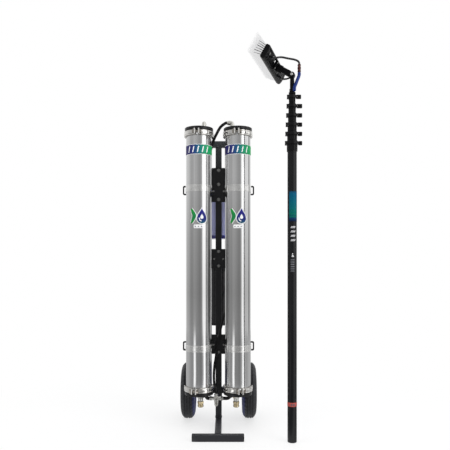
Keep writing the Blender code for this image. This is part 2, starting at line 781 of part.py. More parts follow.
def top_section(i):
    """Tube that ends in a socket, a neck and the eye of the brush hinge."""
    outer = section_radius(i)
    bore = outer - POLE_WALL
    low = section_low(i)
    neck_top = PIVOT_Z - 0.0185
    tube = turned(
        [(bore, low), (outer, low), (outer, SEAT), (0.0118, SEAT), (0.0125, SEAT + 0.0008),
         (0.0125, SEAT + 0.0075), (0.0085, SEAT + 0.0095), (0.0080, SEAT + 0.0105),
         (0.0080, neck_top), (0.0062, neck_top), (0.0062, SEAT + 0.0200),
         (bore, SEAT + 0.0150)],
        16,
    )
    stem = block(around(0, 0.0072), around(0, 0.0050), (PIVOT_Z - 0.0240, PIVOT_Z))
    across = HEAD_TURN @ Vector((0, 1, 0))
    pivot = Vector((0, 0, PIVOT_Z))
    eye = rod(pivot - across * 0.0055, pivot + across * 0.0055, 0.0105, 16)
    pin = rod(pivot - across * 0.0140, pivot + across * 0.0140, 0.0030, 8)
    pin_heads = [
        rod(pivot + side * across * 0.0107, pivot + side * across * 0.0150, 0.0065, 6)
        for side, _ in SIDES
    ]
    return union(tube, placed(stem, HEAD_TURN), eye, pin, *pin_heads)


def clamp_lever(i):
    """Band from the hinge round the front of the collar to a thumb piece at +X."""
    z = clamp_height(i)
    hinge = clamp_hinge_x(i)
    reach = 0.0340 if i < CLAMPS - 1 else 0.0300
    inner = collar_radius(i) + 0.0006
    outer = collar_radius(i) + 0.0030
    angles = [math.radians(180 + 180 * k / 10) for k in range(11)]
    tip = [
        (outer * 0.985, -0.0058), (reach - 0.0040, -0.0052), (reach, -0.0028),
        (reach, 0.0012), (reach - 0.0030, 0.0030), (inner, 0.0030),
    ]
    # the tip takes the place of the last two outer points
    outline = arc(outer, angles[:-2]) + tip + arc(inner, angles)[::-1]
    band = prism(outline, z - 0.0050, z + 0.0050)
    thumb = block((outer + 0.0002, reach + 0.0025), (-0.0062, 0.0032), around(z, 0.0076), 0.0014)
    knuckle = rod((hinge, 0, z - 0.00495), (hinge, 0, z + 0.00495), 0.0026, 12)
    bore = rod((hinge, 0, z - 0.02), (hinge, 0, z + 0.02), PIN_R + 0.0004, 12)
    return minus(union(band, knuckle, thumb), bore)


pole = empty("pole_axis", (POLE_X, POLE_Y, 0.0))
base_plug = placed(turned(BASE_PLUG_ROWS, 16), TO_POLE)
part("base_plug", base_plug, RUBBER, pole, (POLE_X, POLE_Y, 0.0))

# each section slides in the one below it
carrier = pole
for i in range(SECTIONS):
    section_at = (POLE_X, POLE_Y, section_low(i))
    if i:
        carrier = empty("section_%d_slide" % (i + 1), section_at, carrier)
    body = clamped_section(i) if i < CLAMPS else top_section(i)
    part("pole_section_%d" % (i + 1), placed(body, TO_POLE), CARBON, carrier, section_at)
    if i < CLAMPS:
        hinge_at = (POLE_X + clamp_hinge_x(i), POLE_Y, clamp_height(i))
        clamp_axis = empty("clamp_%d_axis" % (i + 1), hinge_at, carrier)
        lever = placed(clamp_lever(i), TO_POLE)
        part("clamp_lever_%d" % (i + 1), lever, BLACK_PLASTIC, clamp_axis, hinge_at)
top_slide = carrier

# ------------------------------------------------------------- brush head
# Head frame: +X along the bristles, +Y along the hinge, origin on the hinge.
BRUSH_L = 0.300
BRUSH_W = 0.050
STOCK_NEAR = 0.0690         # back of the stock, measured from the hinge
STOCK_FAR = 0.0890          # face that the bristles grow from
BRISTLE_END = 0.1400
HEAD_TO_WORLD = (
    Matrix.Translation((POLE_X, POLE_Y, PIVOT_Z))
    @ HEAD_TURN
    @ Matrix.Rotation(-HEAD_TILT, 4, "Y")
)


def head_arm():
    """Arm with two cheeks round the hinge eye and a plate behind the stock."""
    arm = block(
        (0.0150, STOCK_NEAR - 0.0030), around(0, 0.0100), around(0, 0.0104), bevel=0.0015,
    )
    for side, _ in SIDES:
        low, high = beside(side, 0.0060, 0.0102)
        cheek = union(
            rod((0, low, 0), (0, high, 0), 0.0105, 16),
            block((0.0, 0.0200), (low, high), around(0, 0.0103)),
        )
        arm = union(arm, cheek)
    plate = block(
        (STOCK_NEAR - 0.0060, STOCK_NEAR - GAP), around(0, 0.0300), around(0, 0.0170),
        bevel=0.0012,
    )
    return minus(union(arm, plate), rod((0, -0.03, 0), (0, 0.03, 0), 0.0035, 12))


def brush_stock():
    return block(
        (STOCK_NEAR, STOCK_FAR), around(0, BRUSH_L / 2), around(0, BRUSH_W / 2), bevel=0.0030,
    )


def bristle_pack():
    """A solid that flares towards the bristle tips."""
    shape = bmesh.new()
    # x, half length, half width
    root = (STOCK_FAR + GAP, BRUSH_L / 2 - 0.006, 0.0210)
    tips = (BRISTLE_END, BRUSH_L / 2 + 0.006, 0.0360)
    rings = [
        [
            shape.verts.new((x, y_sign * half_length, z_sign * half_width))
            for y_sign, z_sign in ((-1, -1), (1, -1), (1, 1), (-1, 1))
        ]
        for x, half_length, half_width in (root, tips)
    ]
    bridge(shape, *rings)
    shape.faces.new(rings[0])
    shape.faces.new(rings[1])
    return shape


head = empty(
    "head_axis", HEAD_TO_WORLD.translation, top_slide, HEAD_TO_WORLD.to_3x3().to_4x4(),
)
part("head_arm", head_arm(), BLACK_PLASTIC, head, local=True)
part("brush_stock", brush_stock(), BLACK_PLASTIC, head, local=True)
part("bristle_pack", bristle_pack(), BRISTLE, head, local=True)

# ------------------------------------------------- pole hose and jet hoses
CONNECTOR_AT = (POLE_X + 0.026, POLE_Y)
CONNECTOR_LOW = 1.3535
CONNECTOR_TOP = 1.3855

# r, z
CONNECTOR_ROWS = [
    (0, CONNECTOR_LOW), (0.0040, CONNECTOR_LOW), (0.0052, 1.3560), (0.0052, 1.3660),
    (0.0062, 1.3665), (0.0062, 1.3730), (0.0052, 1.3735), (0.0052, 1.3830),
    (0.0036, CONNECTOR_TOP), (0, CONNECTOR_TOP),
]


def jet_start(y, z):
    """The first two points of a jet hose, straight out of the stock's back."""
    start = HEAD_TO_WORLD @ Vector((STOCK_NEAR - 0.0015, y, z))
    outwards = HEAD_TO_WORLD.to_3x3() @ Vector((-1, 0, 0))
    return [start, start + outwards * 0.008]


# x, y, z: brush to connector
UPPER_JET_HOSE = jet_start(0.1020, 0.0020) + [
    HEAD_TO_WORLD @ Vector((0.0540, 0.0900, 0.0095)),
    (0.2285, -0.2815, 1.3935), (0.2550, -0.2620, 1.3962), (0.2790, -0.2500, 1.3965),
    (0.2925, -0.2415, 1.3942), (0.2973, -0.2385, 1.3895),
    (*CONNECTOR_AT, CONNECTOR_TOP + 0.0007),
]
# x, y, z: brush to the hinge
LOWER_JET_HOSE = jet_start(-0.0700, -0.0120) + [
    (0.2392, -0.1750, 1.3530), (0.2405, -0.1930, 1.3440), (0.2480, -0.2110, 1.3384),
    (0.2560, -0.2210, 1.3366), (0.2605, -0.2262, 1.3366),
]
# x, y, z: connector to the top section's socket
POLE_HOSE = [
    (*CONNECTOR_AT, CONNECTOR_LOW - 0.0008), (0.2976, -0.2383, 1.3450),
    (0.2950, -0.2405, 1.3360), (0.2900, -0.2455, 1.3240), (0.2840, -0.2505, 1.3080),
    (0.2792, -0.2533, 1.2960), (0.2783, -0.2538, SEAT + 0.0092),
]

part("upper_jet_hose", hose(UPPER_JET_HOSE, 0.0034), RUBBER, head)
part("lower_jet_hose", hose(LOWER_JET_HOSE, 0.0030), RUBBER, head)
part("hose_connector", turned(CONNECTOR_ROWS, 12, CONNECTOR_AT), RED_BROWN, top_slide)
part("pole_hose", hose(POLE_HOSE, 0.0060, sides=8), BLUE, top_slide)
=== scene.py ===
"""Looks of the window cleaning pole system: trolley, pressure vessels, filters
and the telescopic brush pole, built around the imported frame."""
import json
import math
import random

import bmesh
import bpy
from mathutils import Matrix, Vector

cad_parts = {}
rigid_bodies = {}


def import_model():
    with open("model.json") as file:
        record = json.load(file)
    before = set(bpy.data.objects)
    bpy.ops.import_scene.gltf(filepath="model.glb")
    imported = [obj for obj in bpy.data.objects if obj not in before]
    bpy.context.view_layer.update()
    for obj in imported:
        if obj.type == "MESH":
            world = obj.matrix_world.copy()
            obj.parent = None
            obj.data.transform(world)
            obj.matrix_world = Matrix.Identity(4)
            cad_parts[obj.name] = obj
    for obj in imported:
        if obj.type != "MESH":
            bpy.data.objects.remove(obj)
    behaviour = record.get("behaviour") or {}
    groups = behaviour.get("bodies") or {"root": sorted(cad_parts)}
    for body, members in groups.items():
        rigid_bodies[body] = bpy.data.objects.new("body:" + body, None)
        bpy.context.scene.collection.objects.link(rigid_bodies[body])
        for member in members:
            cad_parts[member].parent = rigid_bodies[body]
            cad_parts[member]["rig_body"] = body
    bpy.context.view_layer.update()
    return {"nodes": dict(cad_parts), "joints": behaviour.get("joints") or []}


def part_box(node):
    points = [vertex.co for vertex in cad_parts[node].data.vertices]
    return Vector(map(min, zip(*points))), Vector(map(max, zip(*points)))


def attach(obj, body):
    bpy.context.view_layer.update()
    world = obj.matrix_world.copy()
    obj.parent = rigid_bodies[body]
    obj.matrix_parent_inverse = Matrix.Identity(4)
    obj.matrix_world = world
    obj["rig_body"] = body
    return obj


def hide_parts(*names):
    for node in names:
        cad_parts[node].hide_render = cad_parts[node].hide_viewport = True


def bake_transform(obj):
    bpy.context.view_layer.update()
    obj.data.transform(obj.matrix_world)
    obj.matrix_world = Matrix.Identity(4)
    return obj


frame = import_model()
RNG = random.Random(7)

# ------------------------------------------------------------ sizes, from CAD
_a, _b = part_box("vessel_shell_left")
VESSEL_X = -(_a.x + _b.x) / 2
VESSEL_Y = (_a.y + _b.y) / 2
VESSEL_BOTTOM, VESSEL_TOP = _a.z, _b.z
FLANGE_R = (_b.x - _a.x) / 2
VESSEL_R = 0.0508
SHELL = 0.002
_a, _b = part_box("top_v_band_left")
BAND_H = 0.0224
BAND_R = 0.0590
CAP_R = 0.0560
CAP_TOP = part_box("top_cap_left")[1].z
CAP_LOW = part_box("bottom_cap_left")[0].z
_a, _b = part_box("upper_strap_left")
UPPER_BAND_Z, STRAP_H = (_a.z + _b.z) / 2, _b.z - _a.z
_a, _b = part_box("lower_strap_left")
LOWER_BAND_Z = (_a.z + _b.z) / 2
_a, _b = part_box("tyre_right")
WHEEL_X, WHEEL_Y, WHEEL_R = (_a.x + _b.x) / 2, (_a.y + _b.y) / 2, (_b.z - _a.z) / 2
WHEEL_Z = (_a.z + _b.z) / 2
WHEEL_W = _b.x - _a.x
POST_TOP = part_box("trolley_frame")[1].z
TUBE, H = 0.025, 0.0125
FOOT_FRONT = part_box("trolley_frame")[0].y
HANDLE_HALF, FOOT_HALF = 0.094, 0.094
FILTER_Y = 0.0775
TEE = Vector((-0.0083, -0.0800, 0.1200))
LEVER_Y = TEE.y - 0.0088
PLATE_BACK, PLATE_FRONT = -0.0130, -0.0180
_a, _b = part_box("base_plug")
POLE_X, POLE_Y = (_a.x + _b.x) / 2, (_a.y + _b.y) / 2
_h = next(j for j in frame["joints"] if j["name"] == "head_tilt")
PIVOT_Z = _h["pos_m"][2]
POLE_OD = [0.034 - 0.003 * i for i in range(7)]
POLE_WALL = 0.0011
CLAMP_Z, PITCH = 1.0943, 0.0339
HEAD_TURN, HEAD_TILT = math.radians(163.6), math.radians(31.6)
HEAD = (Matrix.Translation((POLE_X, POLE_Y, PIVOT_Z))
        @ Matrix.Rotation(HEAD_TURN, 4, "Z") @ Matrix.Rotation(-HEAD_TILT, 4, "Y"))
BRUSH_L, BRUSH_W = 0.300, 0.050
STOCK_NEAR, STOCK_FAR, BRISTLE_END = 0.0690, 0.0890, 0.1400
SEAT = CLAMP_Z + PITCH * 5 + 0.0095


# ------------------------------------------------------------------- shapes
def join(*shapes):
    """Several shapes as one, each staying its own closed body."""
    out = bmesh.new()
    for s in shapes:
        bmesh.ops.recalc_face_normals(s, faces=s.faces)
        me = bpy.data.meshes.new("tmp")
        s.to_mesh(me)
        out.from_mesh(me)
        bpy.data.meshes.remove(me)
        s.free()
    return out


def moved(shape, matrix):
    bmesh.ops.transform(shape, matrix=matrix, verts=shape.verts)
    return shape


def box(x0, x1, y0, y1, z0, z1, bevel=0.0, segments=3):
    s = bmesh.new()
    bmesh.ops.create_cube(s, size=1.0)
    bmesh.ops.scale(s, vec=Vector((x1 - x0, y1 - y0, z1 - z0)), verts=s.verts)
    bmesh.ops.translate(s, vec=Vector((x0 + x1, y0 + y1, z0 + z1)) / 2, verts=s.verts)
    if bevel:
        bmesh.ops.bevel(s, geom=list(s.edges), offset=bevel, segments=segments, profile=0.5,
                        affect="EDGES", clamp_overlap=True)
    return s


def rounded(profile, radius, n=3):
    """A closed (r, z) outline with its corners rounded off."""
    out = []
    count = len(profile)
    for i, p in enumerate(profile):
        p = Vector(p)
        a, b = Vector(profile[i - 1]), Vector(profile[(i + 1) % count])
        if p.x < 1e-6 or (a - p).length < 1e-7 or (b - p).length < 1e-7:
            out.append(tuple(p))
            continue
        u, v = (a - p).normalized(), (b - p).normalized()
        angle = u.angle(v)
        if angle > math.radians(168):
            out.append(tuple(p))
            continue
        reach = min(radius / math.tan(angle / 2), 0.45 * (a - p).length, 0.45 * (b - p).length)
        s, e = p + u * reach, p + v * reach
        for k in range(n + 1):
            t = k / n
            q = s * (1 - t) ** 2 + p * 2 * t * (1 - t) + e * t * t
            out.append(tuple(q))
    return out


def turned(profile, segments=64, centre=(0.0, 0.0), start=0.0, sweep=2 * math.pi, rad=0.0, n=3):
    if rad:
        profile = rounded(profile, rad, n)
    s = bmesh.new()
    full = abs(sweep - 2 * math.pi) < 1e-9
    stations = segments if full else segments + 1
    rings = []
    for r, z in profile:
        if r < 1e-6:
            p = s.verts.new((centre[0], centre[1], z))
            rings.append([p] * stations)
        else:
            rings.append([s.verts.new((centre[0] + r * math.cos(start + sweep * k / segments),
                                       centre[1] + r * math.sin(start + sweep * k / segments), z))
                          for k in range(stations)])
    for i, ring in enumerate(rings):
        after = rings[(i + 1) % len(rings)]
        for k in range(segments):
            m = (k + 1) % stations
            corners = []
            for v in (ring[k], ring[m], after[m], after[k]):
                if v not in corners:
                    corners.append(v)
            if len(corners) > 2:
                s.faces.new(corners)
    if not full:
        s.faces.new([r[0] for r in rings])
        s.faces.new([r[-1] for r in rings])
    return s


def aim(start, end):
    start, end = Vector(start), Vector(end)
    return Matrix.Translation(start) @ Vector((0, 0, 1)).rotation_difference(end - start).to_matrix().to_4x4()


def rod(start, end, radius, sides=32, edge=0.0004):
    length = (Vector(end) - Vector(start)).length
    e = min(edge, radius * 0.4, length * 0.4)
    return moved(turned([(0, 0), (radius, 0), (radius, length), (0, length)], sides, rad=e, n=2), aim(start, end))


def stepped(start, end, rows, sides=32, edge=0.0003):
    """A turned piece between two points; rows are (metres along it, radius)."""
    prof = [(0, rows[0][0])] + [(r, z) for z, r in rows] + [(0, rows[-1][0])]
    return moved(turned(prof, sides, rad=edge, n=2), aim(start, end))


def hexagon(start, end, across, edge=0.0006, turn=0.0):
    """A hexagon nut or head with its corners chamfered; across is over the flats."""
    length = (Vector(end) - Vector(start)).length
    r = across / 2 / math.cos(math.pi / 6)
    e = min(edge, length * 0.3)
    s = turned([(0, 0), (r - e, 0), (r, e * 0.6), (r, length - e * 0.6), (r - e, length), (0, length)], 6, start=turn)
    return moved(s, aim(start, end))


def smooth_path(points, steps):
    p = [Vector(q) for q in points]
    p = [2 * p[0] - p[1]] + p + [2 * p[-1] - p[-2]]
    out = []
    for i in range(1, len(p) - 2):
        for k in range(steps):
            t = k / steps
            out.append(0.5 * (2 * p[i] + (p[i + 1] - p[i - 1]) * t
                              + (2 * p[i - 1] - 5 * p[i] + 4 * p[i + 1] - p[i + 2]) * t * t
                              + (3 * p[i] - p[i - 1] - 3 * p[i + 1] + p[i + 2]) * t * t * t))
    out.append(p[-2])
    return out


def sweep(path, radius, sides=20, caps=True):
    """A round section along a path; radius is a number or one per point."""
    s = bmesh.new()
    side, rings = None, []
    for i, at in enumerate(path):
        ahead = (path[min(i + 1, len(path) - 1)] - path[max(i - 1, 0)]).normalized()
        if side is None:
            side = ahead.orthogonal().normalized()
        side = (side - ahead * side.dot(ahead)).normalized()
        other = ahead.cross(side)
        r = radius[i] if isinstance(radius, (list, tuple)) else radius
        rings.append([s.verts.new(at + r * (math.cos(a) * side + math.sin(a) * other))
                      for a in (2 * math.pi * k / sides for k in range(sides))])
    for low, high in zip(rings, rings[1:]):
        for k in range(sides):
            m = (k + 1) % sides
            s.faces.new((low[k], low[m], high[m], high[k]))
    if caps:
        s.faces.new(rings[0])
        s.faces.new(rings[-1])
    return s


def hose(points, radius, sides=20, steps=8):
    return sweep(smooth_path(points, steps), radius, sides)


def prism(outline, z0, z1):
    s = bmesh.new()
    low = [s.verts.new((x, y, z0)) for x, y in outline]
    high = [s.verts.new((x, y, z1)) for x, y in outline]
    n = len(outline)
    s.faces.new(low)
    s.faces.new(high)
    for k in range(n):
        m = (k + 1) % n
        s.faces.new((low[k], low[m], high[m], high[k]))
    return s


def arc(cx, cy, r, a0, a1, n):
    return [(cx + r * math.cos(math.radians(a0 + (a1 - a0) * k / n)),
             cy + r * math.sin(math.radians(a0 + (a1 - a0) * k / n))) for k in range(n + 1)]


def round_rect(x0, x1, y0, y1, r, n=6):
    return (arc(x1 - r, y1 - r, r, 0, 90, n) + arc(x0 + r, y1 - r, r, 90, 180, n)
            + arc(x0 + r, y0 + r, r, 180, 270, n) + arc(x1 - r, y0 + r, r, 270, 360, n))


def weld_bead(points, radius=0.0016, closed=False, pitch=0.0022):
    """A weld seam: a thin bead whose thickness ripples along its run."""
    pts = [Vector(p) for p in points]
    if closed:
        pts.append(pts[0])
    path = []
    for a, b in zip(pts, pts[1:]):
        n = max(2, int((b - a).length / (pitch / 4)))
        path += [a.lerp(b, k / n) for k in range(n)]
    path.append(pts[-1])
    radii = [radius * (0.86 + 0.14 * math.sin(i * math.pi / 2)) for i in range(len(path))]
    return sweep(path, radii, 8)


def bolt_head(at, out, across=0.0100, height=0.0040, washer=0.0066, turn=0.3):
    """Hexagon head on a washer, standing on a face at `at`, looking along out."""
    at, out = Vector(at), Vector(out).normalized()
    return join(
        moved(turned([(0, 0), (washer, 0), (washer, 0.0010), (0, 0.0010)], 32, rad=0.0003, n=2), aim(at, at + out)),
        hexagon(at + out * 0.0010, at + out * (0.0010 + height), across, turn=turn),
        moved(turned([(0, 0), (across * 0.36, 0), (across * 0.30, 0.0004), (0, 0.0004)], 24), aim(at + out * (0.0010 + height), at + out * (0.02 + height))),
    )


def dome_head(at, out, radius=0.0062, height=0.0034):
    """Button head screw with a hexagon socket, on a face."""
    at, out = Vector(at), Vector(out).normalized()
    prof = [(0, 0)] + [(radius, 0), (radius, height * 0.18)]
    prof += [(radius * math.cos(a), height * (0.18 + 0.82 * math.sin(a))) for a in (math.radians(d) for d in (15, 30, 45, 60))]
    prof += [(radius * 0.42, height), (radius * 0.40, height * 0.45), (0, height * 0.45)]
    return moved(turned(prof, 32), aim(at, at + out))


def piece(name, shape, mat, body, nodes=(), bevel=0.0, segments=3, angle=32, thick=0.0, offset=1.0):
    """Makes one visible piece, riding on a CAD body."""
    bmesh.ops.recalc_face_normals(shape, faces=shape.faces)
    me = bpy.data.meshes.new(name)
    shape.to_mesh(me)
    shape.free()
    o = bpy.data.objects.new(name, me)
    bpy.context.scene.collection.objects.link(o)
    me.materials.append(mat)
    me.shade_smooth()
    if thick:
        sol = o.modifiers.new("thick", "SOLIDIFY")
        sol.thickness = thick
        sol.offset = offset
    if bevel:
        b = o.modifiers.new("edge", "BEVEL")
        b.width = bevel
        b.segments = segments
        b.limit_method = "ANGLE"
        b.angle_limit = math.radians(angle)
        b.use_clamp_overlap = True
        b.harden_normals = True
    else:
        me.set_sharp_from_angle(angle=math.radians(angle))
    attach(o, body)
    if nodes:
        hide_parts(*([nodes] if isinstance(nodes, str) else nodes))
    return o


# ---------------------------------------------------------------- materials
class Look:
    """A procedural material: a Principled shader and the nodes that feed it."""

    def __init__(self, name, roughness=0.5, metallic=0.0, **more):
        self.m = bpy.data.materials.new(name)
        self.m.use_nodes = True
        self.t = self.m.node_tree
        self.b = self.t.nodes["Principled BSDF"]
        self.out = self.t.nodes["Material Output"]
        self.b.inputs["Roughness"].default_value = roughness
        self.b.inputs["Metallic"].default_value = metallic
        for k, v in more.items():
            self.b.inputs[k.replace("_", " ")].default_value = v
        self.object = self.t.nodes.new("ShaderNodeTexCoord").outputs["Object"]

    def put(self, socket, value):
        if isinstance(value, bpy.types.NodeSocket):
            self.t.links.new(value, socket)
        else:
            socket.default_value = value

    def set(self, name, value):
        self.put(self.b.inputs[name], value)
        return self

    def math(self, op, a, b=0.0, c=None, clamp=False):
        n = self.t.nodes.new("ShaderNodeMath")
        n.operation = op
        n.use_clamp = clamp
        self.put(n.inputs[0], a)
        self.put(n.inputs[1], b)
        if c is not None:
            self.put(n.inputs[2], c)
        return n.outputs[0]

    def scaled(self, scale, vector=None, shift=(0, 0, 0)):
        n = self.t.nodes.new("ShaderNodeMapping")
        self.put(n.inputs["Vector"], vector or self.object)
        n.inputs["Scale"].default_value = scale
        n.inputs["Location"].default_value = shift
        return n.outputs[0]

    def noise(self, scale, detail=3.0, rough=0.55, vector=None, distortion=0.0):
        n = self.t.nodes.new("ShaderNodeTexNoise")
        self.put(n.inputs["Vector"], vector or self.object)
        n.inputs["Scale"].default_value = scale
        n.inputs["Detail"].default_value = detail
        n.inputs["Roughness"].default_value = rough
        n.inputs["Distortion"].default_value = distortion
        return n.outputs["Fac"]

    def spots(self, scale, vector=None, feature="F1"):
        n = self.t.nodes.new("ShaderNodeTexVoronoi")
        n.feature = feature
        self.put(n.inputs["Vector"], vector or self.object)
        n.inputs["Scale"].default_value = scale
        return n.outputs["Distance"]

    def ramp(self, fac, stops, mode="LINEAR"):
        n = self.t.nodes.new("ShaderNodeValToRGB")
        n.color_ramp.interpolation = mode
        while len(n.color_ramp.elements) < len(stops):
            n.color_ramp.elements.new(0.5)
        for e, (at, colour) in zip(n.color_ramp.elements, stops):
            e.position = at
            e.color = (*colour, 1.0) if len(colour) == 3 else colour
        self.put(n.inputs[0], fac)
        return n.outputs[0]

    def span(self, fac, lo, hi, a=0.0, b=1.0):
        n = self.t.nodes.new("ShaderNodeMapRange")
        self.put(n.inputs["Value"], fac)
        n.inputs["From Min"].default_value = lo
        n.inputs["From Max"].default_value = hi
        n.inputs["To Min"].default_value = a
        n.inputs["To Max"].default_value = b
        return n.outputs[0]

    def mix(self, fac, a, b):
        n = self.t.nodes.new("ShaderNodeMix")
        n.data_type = "RGBA"
        self.put(n.inputs[0], fac)
        for i, v in ((6, a), (7, b)):
            self.put(n.inputs[i], (*v, 1.0) if isinstance(v, tuple) and len(v) == 3 else v)
        return n.outputs[2]

    def xyz(self, vector=None):
        n = self.t.nodes.new("ShaderNodeSeparateXYZ")
        self.put(n.inputs[0], vector or self.object)
        return n.outputs

    def bump(self, height, distance=0.0002, strength=1.0, after=None):
        n = self.t.nodes.new("ShaderNodeBump")
        n.inputs["Strength"].default_value = strength
        n.inputs["Distance"].default_value = distance
        self.put(n.inputs["Height"], height)
        if after is not None:
            self.put(n.inputs["Normal"], after)
        return n.outputs[0]

    def wear(self, radius=0.0012, lo=0.02, hi=0.22):
        """1 along sharp outer edges, 0 on open faces."""
        e = self.t.nodes.new("ShaderNodeBevel")
        e.samples = 4
        e.inputs["Radius"].default_value = radius
        g = self.t.nodes.new("ShaderNodeNewGeometry")
        d = self.t.nodes.new("ShaderNodeVectorMath")
        d.operation = "DOT_PRODUCT"
        self.t.links.new(e.outputs[0], d.inputs[0])
        self.t.links.new(g.outputs["Normal"], d.inputs[1])
        gap = self.math("SUBTRACT", 1.0, d.outputs["Value"])
        return self.span(gap, lo, hi)


def powder_coat(name, tone, painted_light_ends=False):
    k = Look(name, 0.42)
    cloud = k.noise(9.0, 4.0)
    base = k.ramp(cloud, [(0.25, tuple(c * 0.82 for c in tone)), (0.75, tuple(c * 1.2 for c in tone))])
    # painted light: the black is lifted to grey over the top of the post and handle, and lifted again towards the floor
    # where the top of the foot is lit
    if painted_light_ends:
        z = k.xyz()[2]
        base = k.mix(k.span(z, 1.00, 1.16, 0.0, 0.85), base, (0.085, 0.095, 0.100))
        base = k.mix(k.span(z, 0.10, 0.00, 0.0, 0.80), base, (0.034, 0.034, 0.040))
    edge = k.math("MULTIPLY", k.wear(0.0010), k.span(k.noise(160.0, 3.0), 0.45, 0.62))
    k.set("Base Color", k.mix(k.math("MULTIPLY", edge, 0.55), base, (0.16, 0.16, 0.165)))
    k.set("Roughness", k.span(k.noise(40.0, 3.0), 0.3, 0.7, 0.36, 0.50))
    k.set("Normal", k.bump(k.noise(1500.0, 2.0), 0.00006, 0.7))
    k.b.inputs["Specular IOR Level"].default_value = 0.34
    return k.m


def vessel_steel():
    """Rolled stainless tube, polished round its girth: faint rings, a soft run of streaks, and painted shade that
    darkens it across mid-height in place of a darker reflection.
    """
    k = Look("vessel_brushed_steel", 0.20, 1.0)
    rings = k.noise(1.0, 3.0, 0.6, k.scaled((14.0, 14.0, 2600.0)))
    streak = k.noise(1.0, 2.0, 0.5, k.scaled((420.0, 420.0, 0.8)))
    cloud = k.noise(5.0, 2.0)
    tone = k.math("ADD", k.math("MULTIPLY", streak, 0.6), k.math("MULTIPLY", cloud, 0.4))
    base = k.ramp(tone, [(0.30, (0.60, 0.605, 0.61)), (0.70, (0.70, 0.70, 0.70))])
    # painted shade: the steel's colour is darkened across mid-height to stand in for a darker reflection there
    mid_height_shade = k.ramp(k.xyz()[2], [(0.20, (0.0, 0.0, 0.0)), (0.33, (0.10, 0.10, 0.10)), (0.42, (0.78, 0.78, 0.78)), (0.54, (1.0, 1.0, 1.0)),
                               (0.75, (0.68, 0.68, 0.68)), (0.99, (0.0, 0.0, 0.0))])
    k.set("Base Color", k.mix(mid_height_shade, base, (0.405, 0.405, 0.405)))
    k.set("Roughness", k.span(k.math("ADD", k.math("MULTIPLY", rings, 0.7), k.math("MULTIPLY", cloud, 0.3)), 0.3, 0.7, 0.09, 0.15))
    k.set("Normal", k.bump(rings, 0.000006, 0.5))
    return k.m


def bright_metal(name, tone, rough=0.14, spread=0.08, rims=0.0):
    k = Look(name, rough, 1.0)
    cloud = k.noise(60.0, 4.0, 0.6)
    base = k.ramp(cloud, [(0.3, tuple(c * 0.86 for c in tone)), (0.7, tone)])
    # painted reflection: faces tilted up or down, such as a band's rolled rims, are darkened to stand in for the dark
    # lines polished steel reflects there
    if rims:
        g = k.t.nodes.new("ShaderNodeNewGeometry")
        d = k.t.nodes.new("ShaderNodeVectorMath")
        d.operation = "DOT_PRODUCT"
        k.t.links.new(g.outputs["Normal"], d.inputs[0])
        d.inputs[1].default_value = (0.0, 0.0, 1.0)
        tilt = k.math("ABSOLUTE", d.outputs["Value"], 0.0)
        base = k.mix(k.math("MULTIPLY", k.span(tilt, 0.22, 0.62), rims), base, (0.10, 0.085, 0.07))
    k.set("Base Color", base)
    k.set("Roughness", k.span(k.noise(210.0, 3.0), 0.35, 0.7, rough - spread / 2, rough + spread))
    k.set("Normal", k.bump(k.noise(900.0, 2.0), 0.00003, 0.5))
    return k.m


def moulded(name, tone, rough=0.42, grain=1100.0, depth=0.00005, gloss=0.0, shine=0.30):
    k = Look(name, rough, 0.0)
    cloud = k.noise(18.0, 3.0)
    k.set("Base Color", k.ramp(cloud, [(0.3, tuple(c * 0.85 for c in tone)), (0.7, tuple(min(1, c * 1.15) for c in tone))]))
    k.set("Roughness", k.span(k.noise(70.0, 4.0), 0.3, 0.7, rough - 0.07, rough + 0.09))
    k.set("Normal", k.bump(k.spots(grain), depth, 0.6))
    k.b.inputs["Specular IOR Level"].default_value = shine
    if gloss:
        k.b.inputs["Coat Weight"].default_value = gloss
        k.b.inputs["Coat Roughness"].default_value = 0.12
    return k.m


def rubbery(name, tone, rough=0.62, dust=0.0):
    k = Look(name, rough)
    cloud = k.noise(26.0, 5.0, 0.65)
    base = k.ramp(cloud, [(0.3, tuple(c * 0.8 for c in tone)), (0.75, tuple(c * 1.25 for c in tone))])
    if dust:
        base = k.mix(k.math("MULTIPLY", k.span(k.noise(11.0, 6.0, 0.7), 0.48, 0.75), dust), base, (0.11, 0.105, 0.095))
    k.set("Base Color", base)
    k.set("Roughness", k.span(k.noise(90.0, 3.0), 0.3, 0.7, rough - 0.08, rough + 0.12))
    k.set("Normal", k.bump(k.noise(1300.0, 3.0), 0.00008, 0.6))
    return k.m


def carbon(name, radius):
    """Twill-woven carbon round the pole's axis, under a clear coat."""
    k = Look(name, 0.34, 0.0)
    x, y, z = k.xyz()[0], k.xyz()[1], k.xyz()[2]
    turn = k.math("ARCTAN2", k.math("SUBTRACT", y, POLE_Y), k.math("SUBTRACT", x, POLE_X))
    cells = max(8, 4 * round(2 * math.pi * radius / 0.0024 / 4))
    u = k.math("MULTIPLY", turn, cells / (2 * math.pi))
    v = k.math("MULTIPLY", z, 1 / 0.0024)
    i, j = k.math("FLOOR", u), k.math("FLOOR", v)
    over = k.math("LESS_THAN", k.math("FLOORED_MODULO", k.math("ADD", i, j), 4.0), 1.5)
    fu, fv = k.math("FRACT", u), k.math("FRACT", v)
    tow = k.math("ADD", k.math("MULTIPLY", over, k.math("SINE", k.math("MULTIPLY", fu, math.pi))),
                 k.math("MULTIPLY", k.math("SUBTRACT", 1.0, over), k.math("SINE", k.math("MULTIPLY", fv, math.pi))))
    k.set("Base Color", k.mix(over, (0.0028, 0.0029, 0.0036), (0.0075, 0.0080, 0.0095)))
    k.set("Roughness", k.math("ADD", 0.30, k.math("MULTIPLY", over, 0.14)))
    k.set("Normal", k.bump(tow, 0.00010, 0.5))
    k.b.inputs["Specular IOR Level"].default_value = 0.15
    k.b.inputs["Coat Weight"].default_value = 0.16
    k.b.inputs["Coat Roughness"].default_value = 0.14
    return k.m


